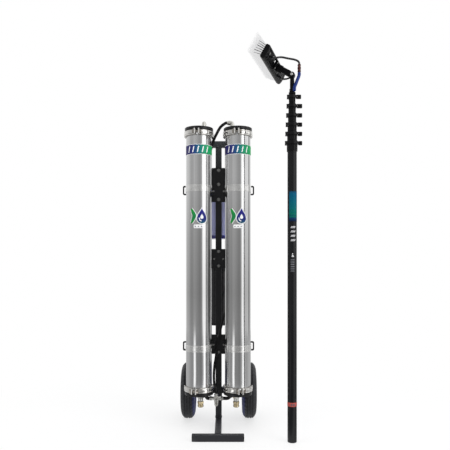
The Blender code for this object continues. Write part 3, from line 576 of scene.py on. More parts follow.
def printed(name, lo, hi, axis, stops, rough=0.30, chalk=0.06, shine=0.5):
    """Printed film: its colour runs along one axis of the object."""
    k = Look(name, rough)
    at = k.span(k.xyz()[axis], lo, hi)
    k.set("Base Color", k.mix(k.span(k.noise(300.0, 2.0), 0.3, 0.7, 0.0, chalk), k.ramp(at, stops), (0.5, 0.5, 0.5)))
    k.set("Roughness", k.span(k.noise(120.0, 2.0), 0.3, 0.7, rough - 0.05, rough + 0.08))
    k.set("Normal", k.bump(k.noise(500.0, 2.0), 0.00002, 0.4))
    k.b.inputs["Specular IOR Level"].default_value = shine
    return k.m


def clear_sump():
    k = Look("tinted_clear_sump", 0.16, 0.0, Transmission_Weight=0.55, IOR=1.3)
    lo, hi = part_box("upper_filter_sump")
    at = k.span(k.xyz()[2], lo.z, hi.z)
    k.set("Base Color", k.mix(k.span(k.noise(30.0, 2.0), 0.3, 0.7, 0, 0.15),
                              k.ramp(at, [(0.0, (0.05, 0.05, 0.30)), (0.045, (0.06, 0.06, 0.34)), (0.07, (0.62, 0.64, 0.93)), (1.0, (0.66, 0.68, 0.96))]),
                              (0.5, 0.52, 0.8)))
    k.set("Roughness", k.span(k.noise(90.0, 2.0), 0.3, 0.7, 0.12, 0.22))
    return k.m


def pleated_paper():
    k = Look("pleated_cartridge", 0.8)
    k.set("Base Color", k.ramp(k.noise(45.0, 5.0), [(0.3, (0.74, 0.75, 0.78)), (0.7, (0.86, 0.87, 0.90))]))
    k.set("Normal", k.bump(k.noise(800.0, 4.0), 0.0002, 0.5))
    return k.m


def bristle_look(name, tone, glow):
    """Pale filament. Light passes from strand to strand, which the glow stands for."""
    k = Look(name, 0.5)
    fleck = k.noise(380.0, 3.0)
    tint = k.ramp(fleck, [(0.3, tuple(c * 0.95 for c in tone)), (0.7, tone)])
    k.set("Base Color", k.mix(0.75, tint, (0.05, 0.05, 0.05)))
    k.set("Roughness", k.span(k.noise(120.0, 2.0), 0.3, 0.7, 0.45, 0.65))
    k.b.inputs["Specular IOR Level"].default_value = 0.1
    k.set("Emission Color", tint)
    k.b.inputs["Emission Strength"].default_value = glow
    return k.m


def tyre_look(name, side):
    """Rubber tread; the shoulder that faces the trolley is the navy of the rim."""
    k = Look(name, 0.55)
    cloud = k.noise(26.0, 5.0, 0.65)
    base = k.ramp(cloud, [(0.3, (0.0095, 0.0100, 0.0125)), (0.75, (0.0170, 0.0180, 0.0215))])
    dust = k.math("MULTIPLY", k.span(k.noise(11.0, 6.0, 0.7), 0.48, 0.75), 0.20)
    base = k.mix(dust, base, (0.075, 0.072, 0.068))
    inner = side * (WHEEL_X - WHEEL_W / 2)
    depth = k.math("MULTIPLY", k.math("SUBTRACT", k.xyz()[0], inner), float(side))
    navy = k.span(k.math("ADD", depth, k.math("MULTIPLY", k.noise(120.0, 2.0), 0.0006)), 0.0050, 0.0110, 1.0, 0.0)
    k.set("Base Color", k.mix(navy, base, (0.012, 0.020, 0.125)))
    k.set("Roughness", k.span(k.noise(90.0, 3.0), 0.3, 0.7, 0.46, 0.66))
    k.set("Normal", k.bump(k.noise(1300.0, 3.0), 0.00008, 0.6))
    return k.m


# the frame's coat carries painted light at its top and at its foot
FRAME_BLACK = powder_coat("frame_powder_coat", (0.013, 0.0135, 0.0155), True)
BRACKET_BLACK = powder_coat("bracket_powder_coat", (0.009, 0.0095, 0.011))
STEEL = vessel_steel()
STRAP_STEEL = bright_metal("strap_steel", (0.82, 0.82, 0.81), 0.20)
# the last number given for the band ring and its bolt sets how much painted dark reflection their tilted faces get
BRIGHT = bright_metal("polished_band_steel", (0.86, 0.85, 0.82), 0.06, 0.04, 0.62)
BAND_BOLT = bright_metal("band_bolt_steel", (0.40, 0.37, 0.33), 0.18, 0.06, 0.7)
NICKEL = bright_metal("nickel_plate", (0.72, 0.72, 0.69), 0.15)
ZINC = bright_metal("bolt_zinc", (0.70, 0.70, 0.69), 0.26)
BOLT_DULL = bright_metal("bolt_dull_zinc", (0.34, 0.34, 0.33), 0.34)
PALE_FITTING = bright_metal("pale_nickel", (0.86, 0.85, 0.80), 0.34)
BRASS = bright_metal("machined_brass", (0.72, 0.61, 0.40), 0.20)
CAP_BLACK = moulded("cap_black", (0.009, 0.009, 0.010), 0.30)
HOSE_BLACK = rubbery("hose_black", (0.0075, 0.0075, 0.0085), 0.36)
HOSE_BLACK.node_tree.nodes["Principled BSDF"].inputs["Specular IOR Level"].default_value = 0.26
TYRES = {side: tyre_look("tyre_rubber_" + word, side) for side, word in ((-1, "left"), (1, "right"))}
RIM_NAVY = moulded("rim_navy", (0.020, 0.032, 0.150), 0.28, 500.0, 0.00003, 0.4)
HEAD_NAVY = moulded("filter_head_navy", (0.012, 0.016, 0.060), 0.30, 500.0, 0.00003, 0.4)
SUMP_BLACK = moulded("sump_black", (0.014, 0.014, 0.016), 0.30, 600.0, 0.00003, 0.4)
SUMP_CLEAR = clear_sump()
PAPER = pleated_paper()
PLUG_BLACK = moulded("plug_black", (0.010, 0.010, 0.011), 0.45)
CLAMP_BLACK = moulded("clamp_black", (0.0038, 0.0038, 0.0044), 0.34, 900.0, 0.00004, 0.06, 0.15)
HEAD_BLACK = moulded("brush_body_black", (0.0030, 0.0030, 0.0036), 0.42, 700.0, 0.00005, 0.0, 0.10)
BRISTLE = bristle_look("bristle_white", (0.97, 0.97, 0.975), 0.52)
BRISTLE_DARK = bristle_look("bristle_dark", (0.020, 0.020, 0.024), 0.10)
RED_BROWN = moulded("connector_red_brown", (0.062, 0.013, 0.010), 0.30, 500.0, 0.00003, 0.4)
BLUE_HOSE = rubbery("hose_blue", (0.0030, 0.018, 0.130), 0.28)
BLUE_HOSE.node_tree.nodes["Principled BSDF"].inputs["Specular IOR Level"].default_value = 0.28
POLE_PRINT = printed("grey_film", 0.0, 1.5, 2, [(0.0, (0.38, 0.38, 0.39)), (1.0, (0.44, 0.44, 0.45))])
WHITE_PRINT = printed("white_film", 0.0, 1.5, 2, [(0.0, (0.84, 0.85, 0.86)), (1.0, (0.88, 0.88, 0.88))])
DARK_PRINT = printed("dark_film", 0.0, 1.5, 2, [(0.0, (0.05, 0.06, 0.08)), (1.0, (0.05, 0.06, 0.08))])
MEMBRANE = moulded("membrane_wrap", (0.78, 0.79, 0.80), 0.6, 400.0, 0.00010)

# ============================================================ trolley frame
def tube(x0, x1, y0, y1, z0, z1, r=0.0028):
    """Square tube with rounded corners along its run; the ends stay square."""
    sx, sy, sz = x1 - x0, y1 - y0, z1 - z0
    run = max(range(3), key=lambda i: (sx, sy, sz)[i])
    if run == 2:
        return prism(round_rect(x0, x1, y0, y1, r), z0, z1)
    if run == 0:
        s = prism(round_rect(-z1, -z0, y0, y1, r), x0, x1)
        return moved(s, Matrix.Rotation(math.radians(90), 4, "Y"))
    s = prism(round_rect(x0, x1, z0, z1, r), -y1, -y0)
    return moved(s, Matrix.Rotation(math.radians(90), 4, "X"))


def open_tube_end(x, sgn, y0, y1, z0, z1):
    """Plastic plug in a tube's open end: a lip outside with a shallow dimple in its face."""
    lip = moved(prism(round_rect(-z1 + 0.0003, -z0 - 0.0003, y0 + 0.0003, y1 - 0.0003, 0.0026), min(x, x + sgn * 0.0022), max(x, x + sgn * 0.0022)),
                Matrix.Rotation(math.radians(90), 4, "Y"))
    dimple = moved(turned([(0, 0), (0.0060, 0), (0.0052, 0.0006), (0, 0.0006)], 32), aim((x + sgn * 0.0022, (y0 + y1) / 2, (z0 + z1) / 2), (x + sgn * 0.1, (y0 + y1) / 2, (z0 + z1) / 2)))
    return join(lip, dimple)


hz0, hz1 = POST_TOP - TUBE, POST_TOP
piece("frame_post", tube(-H, H, -H, H, 0.0254, hz0 + 0.0005), FRAME_BLACK, "cart", "trolley_frame", 0.0006, 2)
piece("frame_handle", tube(-HANDLE_HALF, HANDLE_HALF, -H, H, hz0, hz1), FRAME_BLACK, "cart", (), 0.0008, 2)
piece("frame_foot_leg", tube(-H, H, FOOT_FRONT + TUBE - 0.0006, H, 0.0, TUBE), FRAME_BLACK, "cart", (), 0.0008, 2)
piece("frame_foot_bar", tube(-FOOT_HALF, FOOT_HALF, FOOT_FRONT, FOOT_FRONT + TUBE, 0.0, TUBE), FRAME_BLACK, "cart", (), 0.0008, 2)
az0, az1 = WHEEL_Z - H, WHEEL_Z + H
piece("frame_axle_stay", tube(-H + 0.0003, H - 0.0003, H - 0.0006, WHEEL_Y - H + 0.0006, az0, az1), FRAME_BLACK, "cart", (), 0.0008, 2)
piece("frame_axle_beam", tube(-0.090, 0.090, WHEEL_Y - H, WHEEL_Y + H, az0, az1), FRAME_BLACK, "cart", (), 0.0008, 2)
beads = join(
    weld_bead([(-H, -H - 0.0004, hz0), (H, -H - 0.0004, hz0)]),
    weld_bead([(-H, H + 0.0004, hz0), (H, H + 0.0004, hz0)]),
    weld_bead([(-H, -H, TUBE + 0.0004), (-H, H, TUBE + 0.0004), (H, H, TUBE + 0.0004), (H, -H, TUBE + 0.0004)], closed=True),
    weld_bead([(-H - 0.0002, FOOT_FRONT + TUBE + 0.0003, 0.002), (-H - 0.0002, FOOT_FRONT + TUBE + 0.0003, TUBE - 0.001)]),
    weld_bead([(H + 0.0002, FOOT_FRONT + TUBE + 0.0003, 0.002), (H + 0.0002, FOOT_FRONT + TUBE + 0.0003, TUBE - 0.001)]),
    weld_bead([(-H + 0.002, FOOT_FRONT + TUBE + 0.0003, TUBE), (H - 0.002, FOOT_FRONT + TUBE + 0.0003, TUBE)]),
    weld_bead([(-H, H + 0.0003, az0), (H, H + 0.0003, az0), (H, H + 0.0003, az1), (-H, H + 0.0003, az1)], closed=True),
    weld_bead([(-H, WHEEL_Y - H - 0.0003, az0), (H, WHEEL_Y - H - 0.0003, az0), (H, WHEEL_Y - H - 0.0003, az1), (-H, WHEEL_Y - H - 0.0003, az1)], closed=True),
)
piece("frame_weld_beads", beads, FRAME_BLACK, "cart", (), angle=60)
axle = join(
    rod((-WHEEL_X - 0.0244, WHEEL_Y, WHEEL_Z), (WHEEL_X + 0.0244, WHEEL_Y, WHEEL_Z), 0.0080, 48, 0.0012),
    *[weld_bead([(s * 0.0904, WHEEL_Y + 0.0085 * math.cos(a), WHEEL_Z + 0.0085 * math.sin(a)) for a in (2 * math.pi * k / 24 for k in range(24))], 0.0015, True) for s in (-1, 1)],
)
piece("axle_bar", axle, FRAME_BLACK, "cart", ())
plugs = []
for s in (-1, 1):
    plugs.append(open_tube_end(s * HANDLE_HALF, s, -H, H, hz0, hz1))
    plugs.append(open_tube_end(s * FOOT_HALF, s, FOOT_FRONT, FOOT_FRONT + TUBE, 0.0006, TUBE))
piece("tube_end_plugs", join(*plugs), PLUG_BLACK, "cart", (), 0.0004, 2)
retainers = []
for s in (-1, 1):
    a = s * (WHEEL_X + 0.0281)
    retainers.append(moved(turned([(0, 0), (0.0125, 0), (0.0125, 0.0012), (0, 0.0012)], 40, rad=0.0003), aim((a, WHEEL_Y, WHEEL_Z), (s * 0.2, WHEEL_Y, WHEEL_Z))))
piece("axle_washers", join(*retainers), ZINC, "cart", ())


# ---------------------------------------------------------------- brackets
def upright(outline, y0, y1):
    """A flat plate outline given in (x, z), standing between two y planes."""
    s = prism(outline, -y1, -y0)
    return moved(s, Matrix.Rotation(math.radians(90), 4, "X"))


def cup(x, z, half):
    r0, r1 = VESSEL_R + 0.0006, VESSEL_R + 0.0060
    return turned([(r0, z - half), (r1, z - half), (r1, z + half), (r0, z + half)], 48, (x, VESSEL_Y),
                  math.radians(32), math.radians(116), rad=0.0008)


def ear(side, z):
    """Flat-bar loop beside the vessel that the strap's buckle hooks on."""
    x0, x1 = sorted((side * 0.1192, side * 0.1428))
    y0, y1 = VESSEL_Y + 0.0330, VESSEL_Y + 0.0430
    outer = round_rect(x0, x1, z - 0.0190, z + 0.0182, 0.0060)
    i0, i1 = sorted((side * 0.1245, side * 0.1376))
    inner = round_rect(i0, i1, z - 0.0134, z + 0.0126, 0.0030)
    s = bmesh.new()
    n = len(outer)
    rings = [[s.verts.new((px, y, pz)) for px, pz in loop] for y, loop in ((y0, outer), (y1, outer), (y1, inner), (y0, inner))]
    for a, b in zip(rings, rings[1:] + rings[:1]):
        for k in range(n):
            m = (k + 1) % n
            s.faces.new((a[k], a[m], b[m], b[k]))
    return s


def bracket(word, z, low, high):
    plate = upright(round_rect(-0.034, 0.034, low, high, 0.0040), PLATE_FRONT, PLATE_BACK)
    bar = upright(round_rect(-0.128, 0.128, z - 0.0180, z + 0.0180, 0.0030), PLATE_FRONT - 0.0003, PLATE_BACK - 0.0006)
    cups = [cup(s * VESSEL_X, z, 0.0178) for s in (-1, 1)]
    pads = [box(s * VESSEL_X - 0.016, s * VESSEL_X + 0.016, VESSEL_Y + VESSEL_R + 0.0030, PLATE_BACK - 0.0030, z - 0.0165, z + 0.0165) for s in (-1, 1)]
    ears = [ear(s, z) for s in (-1, 1)]
    arms = [box(*sorted((s * 0.1210, s * 0.1268)), VESSEL_Y + 0.0420, PLATE_FRONT, z - 0.0165, z + 0.0165) for s in (-1, 1)]
    piece(word + "_bracket_plate", join(plate, bar), BRACKET_BLACK, "cart", word + "_vessel_bracket", 0.0006, 2)
    piece(word + "_bracket_cups", join(*cups, *pads, *arms), BRACKET_BLACK, "cart", (), 0.0006, 2)
    piece(word + "_bracket_ears", join(*ears), CAP_BLACK, "cart", (), 0.0010, 3)


bracket("upper", UPPER_BAND_Z, 0.903, 1.041)
bracket("lower", LOWER_BAND_Z, 0.285, 0.364)
piece("middle_bracket_plate", upright(round_rect(-0.034, 0.034, 0.633, 0.712, 0.0040), PLATE_FRONT, PLATE_BACK), BRACKET_BLACK, "cart", "middle_filter_bracket", 0.0006, 2)
bolts = []
for z in (1.0312, 0.9742, 0.9132):
    bolts.append(dome_head((0, PLATE_FRONT, z) if z > 1.0 or z < 0.93 else (0, PLATE_FRONT, z), (0, -1, 0), 0.0072, 0.0036))
for z in (0.7010, 0.6427):
    bolts.append(dome_head((0, PLATE_FRONT, z), (0, -1, 0), 0.0066, 0.0034))
for z in (0.3563, 0.2925):
    bolts.append(dome_head((0, PLATE_FRONT, z), (0, -1, 0), 0.0062, 0.0032))
for s in (-1, 1):
    bolts.append(dome_head((s * 0.018, PLATE_FRONT, 0.6711), (0, -1, 0), 0.0042, 0.0022))
    for z in (UPPER_BAND_Z, LOWER_BAND_Z):
        bolts.append(bolt_head((s * 0.0208, -0.0226, z), (0, -1, 0), 0.0058, 0.0026, 0.0038))
piece("bracket_bolts", join(*bolts), BOLT_DULL, "cart", ())
covers = [box(*sorted((s * 0.0152, s * 0.0262)), -0.0226, -0.0178, z - 0.0146, z + 0.0146, 0.0010, 2) for s in (-1, 1) for z in (UPPER_BAND_Z, LOWER_BAND_Z)]
piece("strap_covers", join(*covers), BRACKET_BLACK, "cart", (), angle=40)


# ------------------------------------------------------------------ straps
def strap(side, z):
    x = side * VESSEL_X
    r0, r1 = VESSEL_R + 0.0006, VESSEL_R + 0.0018
    outer, inner = [], []
    for k in range(73):
        a = math.radians(152 + 212 * k / 72)
        ox, oy = -side * math.cos(a), math.sin(a)
        outer.append((x + r1 * ox, VESSEL_Y + r1 * oy))
        inner.append((x + r0 * ox, VESSEL_Y + r0 * oy))
    foot = PLATE_FRONT - 0.0006
    web = x - side * (VESSEL_R + 0.0011)
    outer += [(web - side * 0.0006, foot - 0.0014), (side * 0.0155, foot - 0.0014)]
    inner += [(web + side * 0.0008, foot), (side * 0.0155, foot)]
    s = prism(outer + inner[::-1], z - STRAP_H / 2, z + STRAP_H / 2)
    # two rolled beads along the strip keep it stiff
    for dz in (-0.0095, 0.0095):
        path = [Vector((x + (r1 - 0.0001) * -side * math.cos(a), VESSEL_Y + (r1 - 0.0001) * math.sin(a), z + dz))
                for a in (math.radians(160 + 196 * k / 70) for k in range(71))]
        s = join(s, sweep(path, 0.0008, 8))
    return s


for side, word in ((-1, "left"), (1, "right")):
    piece("upper_strap_band_" + word, strap(side, UPPER_BAND_Z), STRAP_STEEL, "cart", "upper_strap_" + word, 0.0003, 2)
    piece("lower_strap_band_" + word, strap(side, LOWER_BAND_Z), STRAP_STEEL, "cart", "lower_strap_" + word, 0.0003, 2)


# ================================================================= vessels
def shell(x):
    r, f, b, t = VESSEL_R, FLANGE_R, VESSEL_BOTTOM, VESSEL_TOP
    prof = rounded([(r - SHELL, b), (f, b), (f, b + 0.003), (r, b + 0.0065), (r, t - 0.0065), (f, t - 0.003), (f, t), (r - SHELL, t)], 0.0008, 2)
    # stations along the barrel, so that it shades as one smooth tube
    out = []
    for p, q in zip(prof, prof[1:] + prof[:1]):
        out.append(p)
        n = int(abs(q[1] - p[1]) / 0.06)
        out += [(p[0] + (q[0] - p[0]) * k / (n + 1), p[1] + (q[1] - p[1]) * k / (n + 1)) for k in range(1, n + 1)]
    return turned(out, 128, (x, VESSEL_Y))


def cap(x, top):
    s = 1 if top else -1
    face = VESSEL_TOP if top else VESSEL_BOTTOM
    e, c = BAND_H / 2, CAP_TOP - VESSEL_TOP
    rows = [(0, -0.019), (0.0480, -0.019), (0.0480, 0.0003), (FLANGE_R, 0.0003), (FLANGE_R, 0.0033), (0.0500, 0.0070),
            (0.0500, e + 0.0006), (CAP_R, e + 0.0006), (CAP_R, c), (0.0440, c), (0.0430, c - 0.0012),
            (0.0300, c - 0.0012), (0.0290, c), (0, c)]
    return turned([(r, face + s * z) for r, z in rows], 96, (x, VESSEL_Y), rad=0.0012, n=3)


def v_band(x, top, turn):
    """Channel ring: outer face with a raised middle and rolled rims, two lugs, a tee bolt and its nut."""
    z = VESSEL_TOP if top else VESSEL_BOTTOM
    h = BAND_H / 2
    split = math.radians(4.5)
    prof = [(0.0520, z - h), (0.0560, z - h), (0.0585, z - h + 0.0024), (0.0576, z - h + 0.0050), (BAND_R, z - 0.0036),
            (BAND_R, z + 0.0036), (0.0576, z + h - 0.0050), (0.0585, z + h - 0.0024), (0.0560, z + h), (0.0520, z + h),
            (0.0520, z + 0.0098), (0.0562, z + 0.0050), (0.0562, z - 0.0050), (0.0520, z - 0.0098)]
    ring = turned(prof, 96, (0, 0), math.radians(-90) + split, 2 * math.pi - 2 * split, rad=0.0011, n=3)
    bm = join(ring, *[box(*sorted((s * 0.0054, s * 0.0108)), -BAND_R - 0.0168, -BAND_R + 0.0030, z - 0.0108, z + 0.0116, 0.0020, 3) for s in (-1, 1)])
    by = -BAND_R - 0.0090
    bolt = join(
        rod((-0.0165, by, z), (0.0185, by, z), 0.0030, 24),
        hexagon((0.0110, by, z), (0.0172, by, z), 0.0122, turn=0.2),
        moved(turned([(0.0031, 0), (0.0060, 0), (0.0060, 0.0010), (0.0031, 0.0010)], 32), aim((0.0102, by, z), (0.05, by, z))),
        box(-0.0175, -0.0110, by - 0.0056, by + 0.0056, z - 0.0080, z + 0.0080, 0.0014, 2),
        *[moved(turned([(0.0028, 0), (0.0034, 0.0005), (0.0028, 0.0010)], 24), aim((0.0160 + 0.0010 * k, by, z), (0.05, by, z))) for k in range(2)],
    )
    place = Matrix.Translation((x, VESSEL_Y, 0)) @ Matrix.Rotation(math.radians(turn), 4, "Z")
    return moved(bm, place), moved(bolt, place.copy())


def on_vessel(x, u, z, r):
    """A point on a vessel: u metres round its front to the right of the middle."""
    a = u / VESSEL_R
    return Vector((x + r * math.sin(a), VESSEL_Y - r * math.cos(a), z))


def film(x, rows, r, columns=24):
    """A film on a vessel; rows are (z, left u, right u) from low to high."""
    s = bmesh.new()
    grid = [[s.verts.new(on_vessel(x, a + (b - a) * k / columns, z, r)) for k in range(columns + 1)] for z, a, b in rows]
    for p, q in zip(grid, grid[1:]):
        for k in range(columns):
            s.faces.new((p[k], p[k + 1], q[k + 1], q[k]))
    return s


def stroke(x, points, width, r, steps=6, taper=False):
    """A painted line on a vessel through (u, z) points."""
    path = smooth_path([(u, z, 0) for u, z in points], steps)
    s = bmesh.new()
    pairs = []
    for i, p in enumerate(path):
        d = (path[min(i + 1, len(path) - 1)] - path[max(i - 1, 0)]).normalized()
        n = Vector((-d.y, d.x, 0))
        w = width(i / (len(path) - 1)) if callable(width) else width
        pairs.append([s.verts.new(on_vessel(x, p.x + n.x * w * t, p.y + n.y * w * t, r)) for t in (-0.5, 0.0, 0.5)])
    for a, b in zip(pairs, pairs[1:]):
        for k in range(2):
            s.faces.new((a[k], a[k + 1], b[k + 1], b[k]))
    return s


BAND_INK = {}
for side, word in ((-1, "left"), (1, "right")):
    x = side * VESSEL_X
    BAND_INK[side] = printed("label_gradient_" + word, x - VESSEL_R, x + VESSEL_R, 0,
                             [(0.02, (0.012, 0.006, 0.085)), (0.30, (0.006, 0.018, 0.165)), (0.48, (0.002, 0.095, 0.190)),
                              (0.68, (0.002, 0.250, 0.130)), (0.98, (0.004, 0.360, 0.095))], 0.5, 0.02, 0.3)
LEAF_INK = printed("emblem_green", 0.800, 0.870, 2, [(0.0, (0.004, 0.260, 0.020)), (0.5, (0.002, 0.190, 0.050)), (1.0, (0.004, 0.290, 0.025))], 0.5, 0.02, 0.25)
DROP_INK = printed("emblem_blue", 0.800, 0.870, 2, [(0.0, (0.004, 0.130, 0.110)), (0.35, (0.004, 0.010, 0.150)), (1.0, (0.016, 0.012, 0.210))], 0.5, 0.02, 0.25)


def drop_rows(cu, cz, half_w, low, high, n=22):
    """Outline of a water drop as (z, left, right) rows."""
    rows = []
    body = low + half_w
    for k in range(n + 1):
        z = low + (high - low) * k / n
        if z < body:
            w = math.sqrt(max(half_w ** 2 - (body - z) ** 2, 0.0))
        else:
            t = (z - body) / (high - body)
            w = half_w * (math.cos(t * math.pi / 2) ** 1.25)
        rows.append((cz + z, cu - w, cu + w))
    return rows


for side, word in ((-1, "left"), (1, "right")):
    x = side * VESSEL_X
    piece("vessel_tube_" + word, shell(x), STEEL, "cart", "vessel_shell_" + word, angle=40)
    for top, place in ((True, "top"), (False, "bottom")):
        piece(place + "_end_cap_" + word, cap(x, top), CAP_BLACK, "cart", place + "_cap_" + word, angle=40)
        turn = -5 if top else (-14 if side < 0 else 8)
        ring, bolt = v_band(x, top, turn)
        piece(place + "_band_ring_" + word, ring, BRIGHT, "cart", place + "_v_band_" + word, angle=40)
        piece(place + "_band_bolt_" + word, bolt, BAND_BOLT, "cart", (), angle=40)
    # wrap-round label: white edge lines, a colour run and plain slanted bars
    r = VESSEL_R + 0.0002
    reach = math.radians(86) * VESSEL_R
    piece("label_edge_" + word, film(x, [(1.0752 + 0.0390 * k / 6, -reach - 0.0010, reach + 0.0010) for k in range(7)], r, 64), WHITE_PRINT, "cart", (), thick=0.00012)
    piece("label_band_" + word, film(x, [(1.0770 + 0.0354 * k / 6, -reach, reach) for k in range(7)], r + 0.00016, 64), BAND_INK[side], "cart", (), thick=0.00012)
    bars = []
    for k in range(5):
        u = -0.0420 + 0.0190 * k
        bars.append(film(x, [(1.0830 + 0.0234 * j / 8, u - 0.0022 + 0.0050 * j / 8, u + 0.0022 + 0.0050 * j / 8) for j in range(9)], r + 0.00032, 6))
    piece("label_bars_" + word, join(*bars), WHITE_PRINT, "cart", (), thick=0.00010)
    # emblem: a green leaf stroke beside a blue water drop, on a white outline
    low, high = 0.8067, 0.8676
    leaf = [(-0.0285, high - 0.003), (-0.0215, 0.8500), (-0.0165, 0.8372), (-0.0215, 0.8240), (-0.0285, low + 0.003)]
    swoop = [(-0.0120, high - 0.004), (-0.0200, 0.8372), (-0.0120, low + 0.004)]
    wide = lambda t: 0.0158 * (0.50 + 0.50 * math.sin(math.pi * min(max(t, 0.0), 1.0)))
    wide_w = lambda t: wide(t) + 0.0046
    piece("emblem_outline_" + word, join(
        stroke(x, leaf, wide_w, r), film(x, drop_rows(0.0135, 0.0, 0.0215, low - 0.0015, high + 0.0035), r + 0.00004, 16)),
        WHITE_PRINT, "cart", (), thick=0.00010)
    piece("emblem_leaf_" + word, stroke(x, leaf, wide, r + 0.00018), LEAF_INK, "cart", (), thick=0.00010)
    piece("emblem_drop_" + word, film(x, drop_rows(0.0135, 0.0, 0.0188, low + 0.0012, high - 0.0010), r + 0.00020, 16), DROP_INK, "cart", (), thick=0.00010)
    piece("emblem_gloss_" + word, join(
        stroke(x, [(0.0030, 0.8300), (0.0050, 0.8215), (0.0120, 0.8165)], 0.0036, r + 0.00034),
        film(x, drop_rows(0.0135, 0.0, 0.0064, 0.8250, 0.8450, 12), r + 0.00034, 8)), WHITE_PRINT, "cart", (), thick=0.00008)
    piece("emblem_tag_" + word, film(x, [(0.7896 + 0.0142 * k / 4, -0.0190 + (0.0020 if k in (0, 4) else 0), 0.0190 - (0.0020 if k in (0, 4) else 0)) for k in range(5)], r, 20), WHITE_PRINT, "cart", (), thick=0.00010)
    dots = [film(x, drop_rows(u, 0.0, 0.0024, 0.7940, 0.7988, 8), r + 0.00018, 6) for u in (-0.0120, 0.0, 0.0120)]
    piece("emblem_dots_" + word, join(*dots), DARK_PRINT, "cart", (), thick=0.00008)
    node = frame["nodes"]["membrane_" + word]
    node.data.materials.clear()
    node.data.materials.append(MEMBRANE)


# ---------------------------------------------------------------- fittings
def elbow(port, out, length):
    """Push-in elbow on a cap: hex base, bent body, collar and release ring."""
    px, py = port
    z = CAP_TOP + 0.0235
    o = Vector(out)
    base = turned([(0, CAP_TOP + 0.0003), (0.0105, CAP_TOP + 0.0003), (0.0105, CAP_TOP + 0.0020), (0, CAP_TOP + 0.0020)], 40, port, rad=0.0004)
    nut = hexagon((px, py, CAP_TOP + 0.0020), (px, py, CAP_TOP + 0.0110), 0.0184)
    rise = smooth_path([(px, py, CAP_TOP + 0.0080), (px, py, CAP_TOP + 0.0130), Vector((px, py, z - 0.0012)) + o * 0.0018,
                        Vector((px, py, z)) + o * 0.0070, Vector((px, py, z)) + o * (length - 0.009)], 6)
    body = sweep(rise, 0.0080, 28)
    a = Vector((px, py, z)) + o * (length - 0.0100)
    b = Vector((px, py, z)) + o * (length - 0.0025)
    c = Vector((px, py, z)) + o * length
    return join(base, nut, body, hexagon(a - o * 0.003, a + o * 0.0035, 0.0166), rod(a, b, 0.0086, 32), rod(b, c, 0.0072, 32))


piece("outlet_elbow_body", elbow((-0.0570, VESSEL_Y + 0.004), (0, 1, 0), 0.0300), PALE_FITTING, "cart", "outlet_elbow_left")
piece("inlet_elbow_body", elbow((0.0550, VESSEL_Y), (-1, 0, 0), 0.0210), PALE_FITTING, "cart", "inlet_elbow_right")

z = CAP_TOP + 0.0235
piece("top_hose_run", hose([(0.0350, VESSEL_Y, z), (0.0270, -0.0840, z - 0.0012), (0.0080, -0.0660, 1.1955),
                            (-0.0090, -0.0440, 1.1715), (-0.0230, -0.0270, 1.1450), (-0.0330, -0.0238, 1.1100),
                            (-0.0440, -0.0150, 1.0780), (-0.0640, 0.0150, 1.0620), (-0.0900, 0.0500, 1.0540),
                            (-0.1020, 0.0720, 1.0350), (-0.0960, FILTER_Y, 1.0205), (-0.0850, FILTER_Y, 1.0190)], 0.0058), HOSE_BLACK, "cart", "top_hose")

for side, word in ((-1, "left"), (1, "right")):
    ax, ay = side * 0.0700, VESSEL_Y - 0.0060
    t = CAP_LOW - 0.0003
    steel = join(hexagon((ax, ay, t - 0.0010), (ax, ay, t - 0.0150), 0.0224, turn=0.26),
                 moved(turned([(0, 0), (0.0100, 0), (0.0100, 0.0110), (0, 0.0110)], 40, rad=0.0006), aim((ax, ay, t - 0.0145), (ax, ay, 0))))
    brass = moved(turned([(0, 0), (0.0108, 0), (0.0117, 0.0010), (0.0117, 0.0100), (0.0106, 0.0110), (0.0100, 0.0116), (0.0100, 0.0136),
                          (0.0116, 0.0144), (0.0116, 0.0214), (0.0096, 0.0240), (0.0080, 0.0240), (0.0080, 0.0120), (0, 0.0120)], 48, rad=0.0004),
                  aim((ax, ay, t - 0.0260), (ax, ay, 0)))
    # grip ridges round the coupler's sleeve
    ridges = []
    for k in range(28):
        a = 2 * math.pi * k / 28
        c = Vector((ax + 0.0116 * math.cos(a), ay + 0.0116 * math.sin(a), 0))
        ridges.append(rod(c + Vector((0, 0, t - 0.0275)), c + Vector((0, 0, t - 0.0352)), 0.0007, 6, 0.0002))
    piece("coupler_body_" + word, join(brass, *ridges), BRASS, "cart", "brass_coupler_" + word)
    piece("coupler_nut_" + word, steel, NICKEL, "cart", ())

tee = join(
    rod(TEE + Vector((-0.0190, 0, 0)), TEE + Vector((0.0190, 0, 0)), 0.0072, 36),
    *[hexagon(TEE + Vector((s * 0.0180, 0, 0)), TEE + Vector((s * 0.0265, 0, 0)), 0.0148) for s in (-1, 1)],
    rod(TEE, TEE + Vector((0, 0.0020, 0.0180)), 0.0072, 36),
    hexagon(TEE + Vector((0, 0.0011, 0.0105)), TEE + Vector((0, 0.0019, 0.0170)), 0.0150),
    rod(TEE, TEE + Vector((0, 0, -0.0190)), 0.0070, 36),
    hexagon(TEE + Vector((0, 0, -0.0185)), TEE + Vector((0, 0, -0.0255)), 0.0146),
    rod(TEE + Vector((0, 0, -0.0250)), TEE + Vector((0, 0, -0.0300)), 0.0054, 32),
    box(TEE.x - 0.0085, TEE.x + 0.0085, TEE.y - 0.0080, TEE.y + 0.0085, TEE.z - 0.0085, TEE.z + 0.0085, 0.0022),
    rod(TEE, TEE + Vector((0, -0.0150, 0)), 0.0036, 24),
)
piece("drain_tee_body", tee, NICKEL, "cart", "drain_tee")
lever = bmesh.new()
bow = [(-0.0093, 0.0075), (-0.0060, 0.0108), (0.0060, 0.0108), (0.0093, 0.0075), (0.0083, -0.0100), (0.0060, -0.0250),
       (0.0030, -0.0278), (-0.0030, -0.0278), (-0.0060, -0.0250), (-0.0083, -0.0100)]
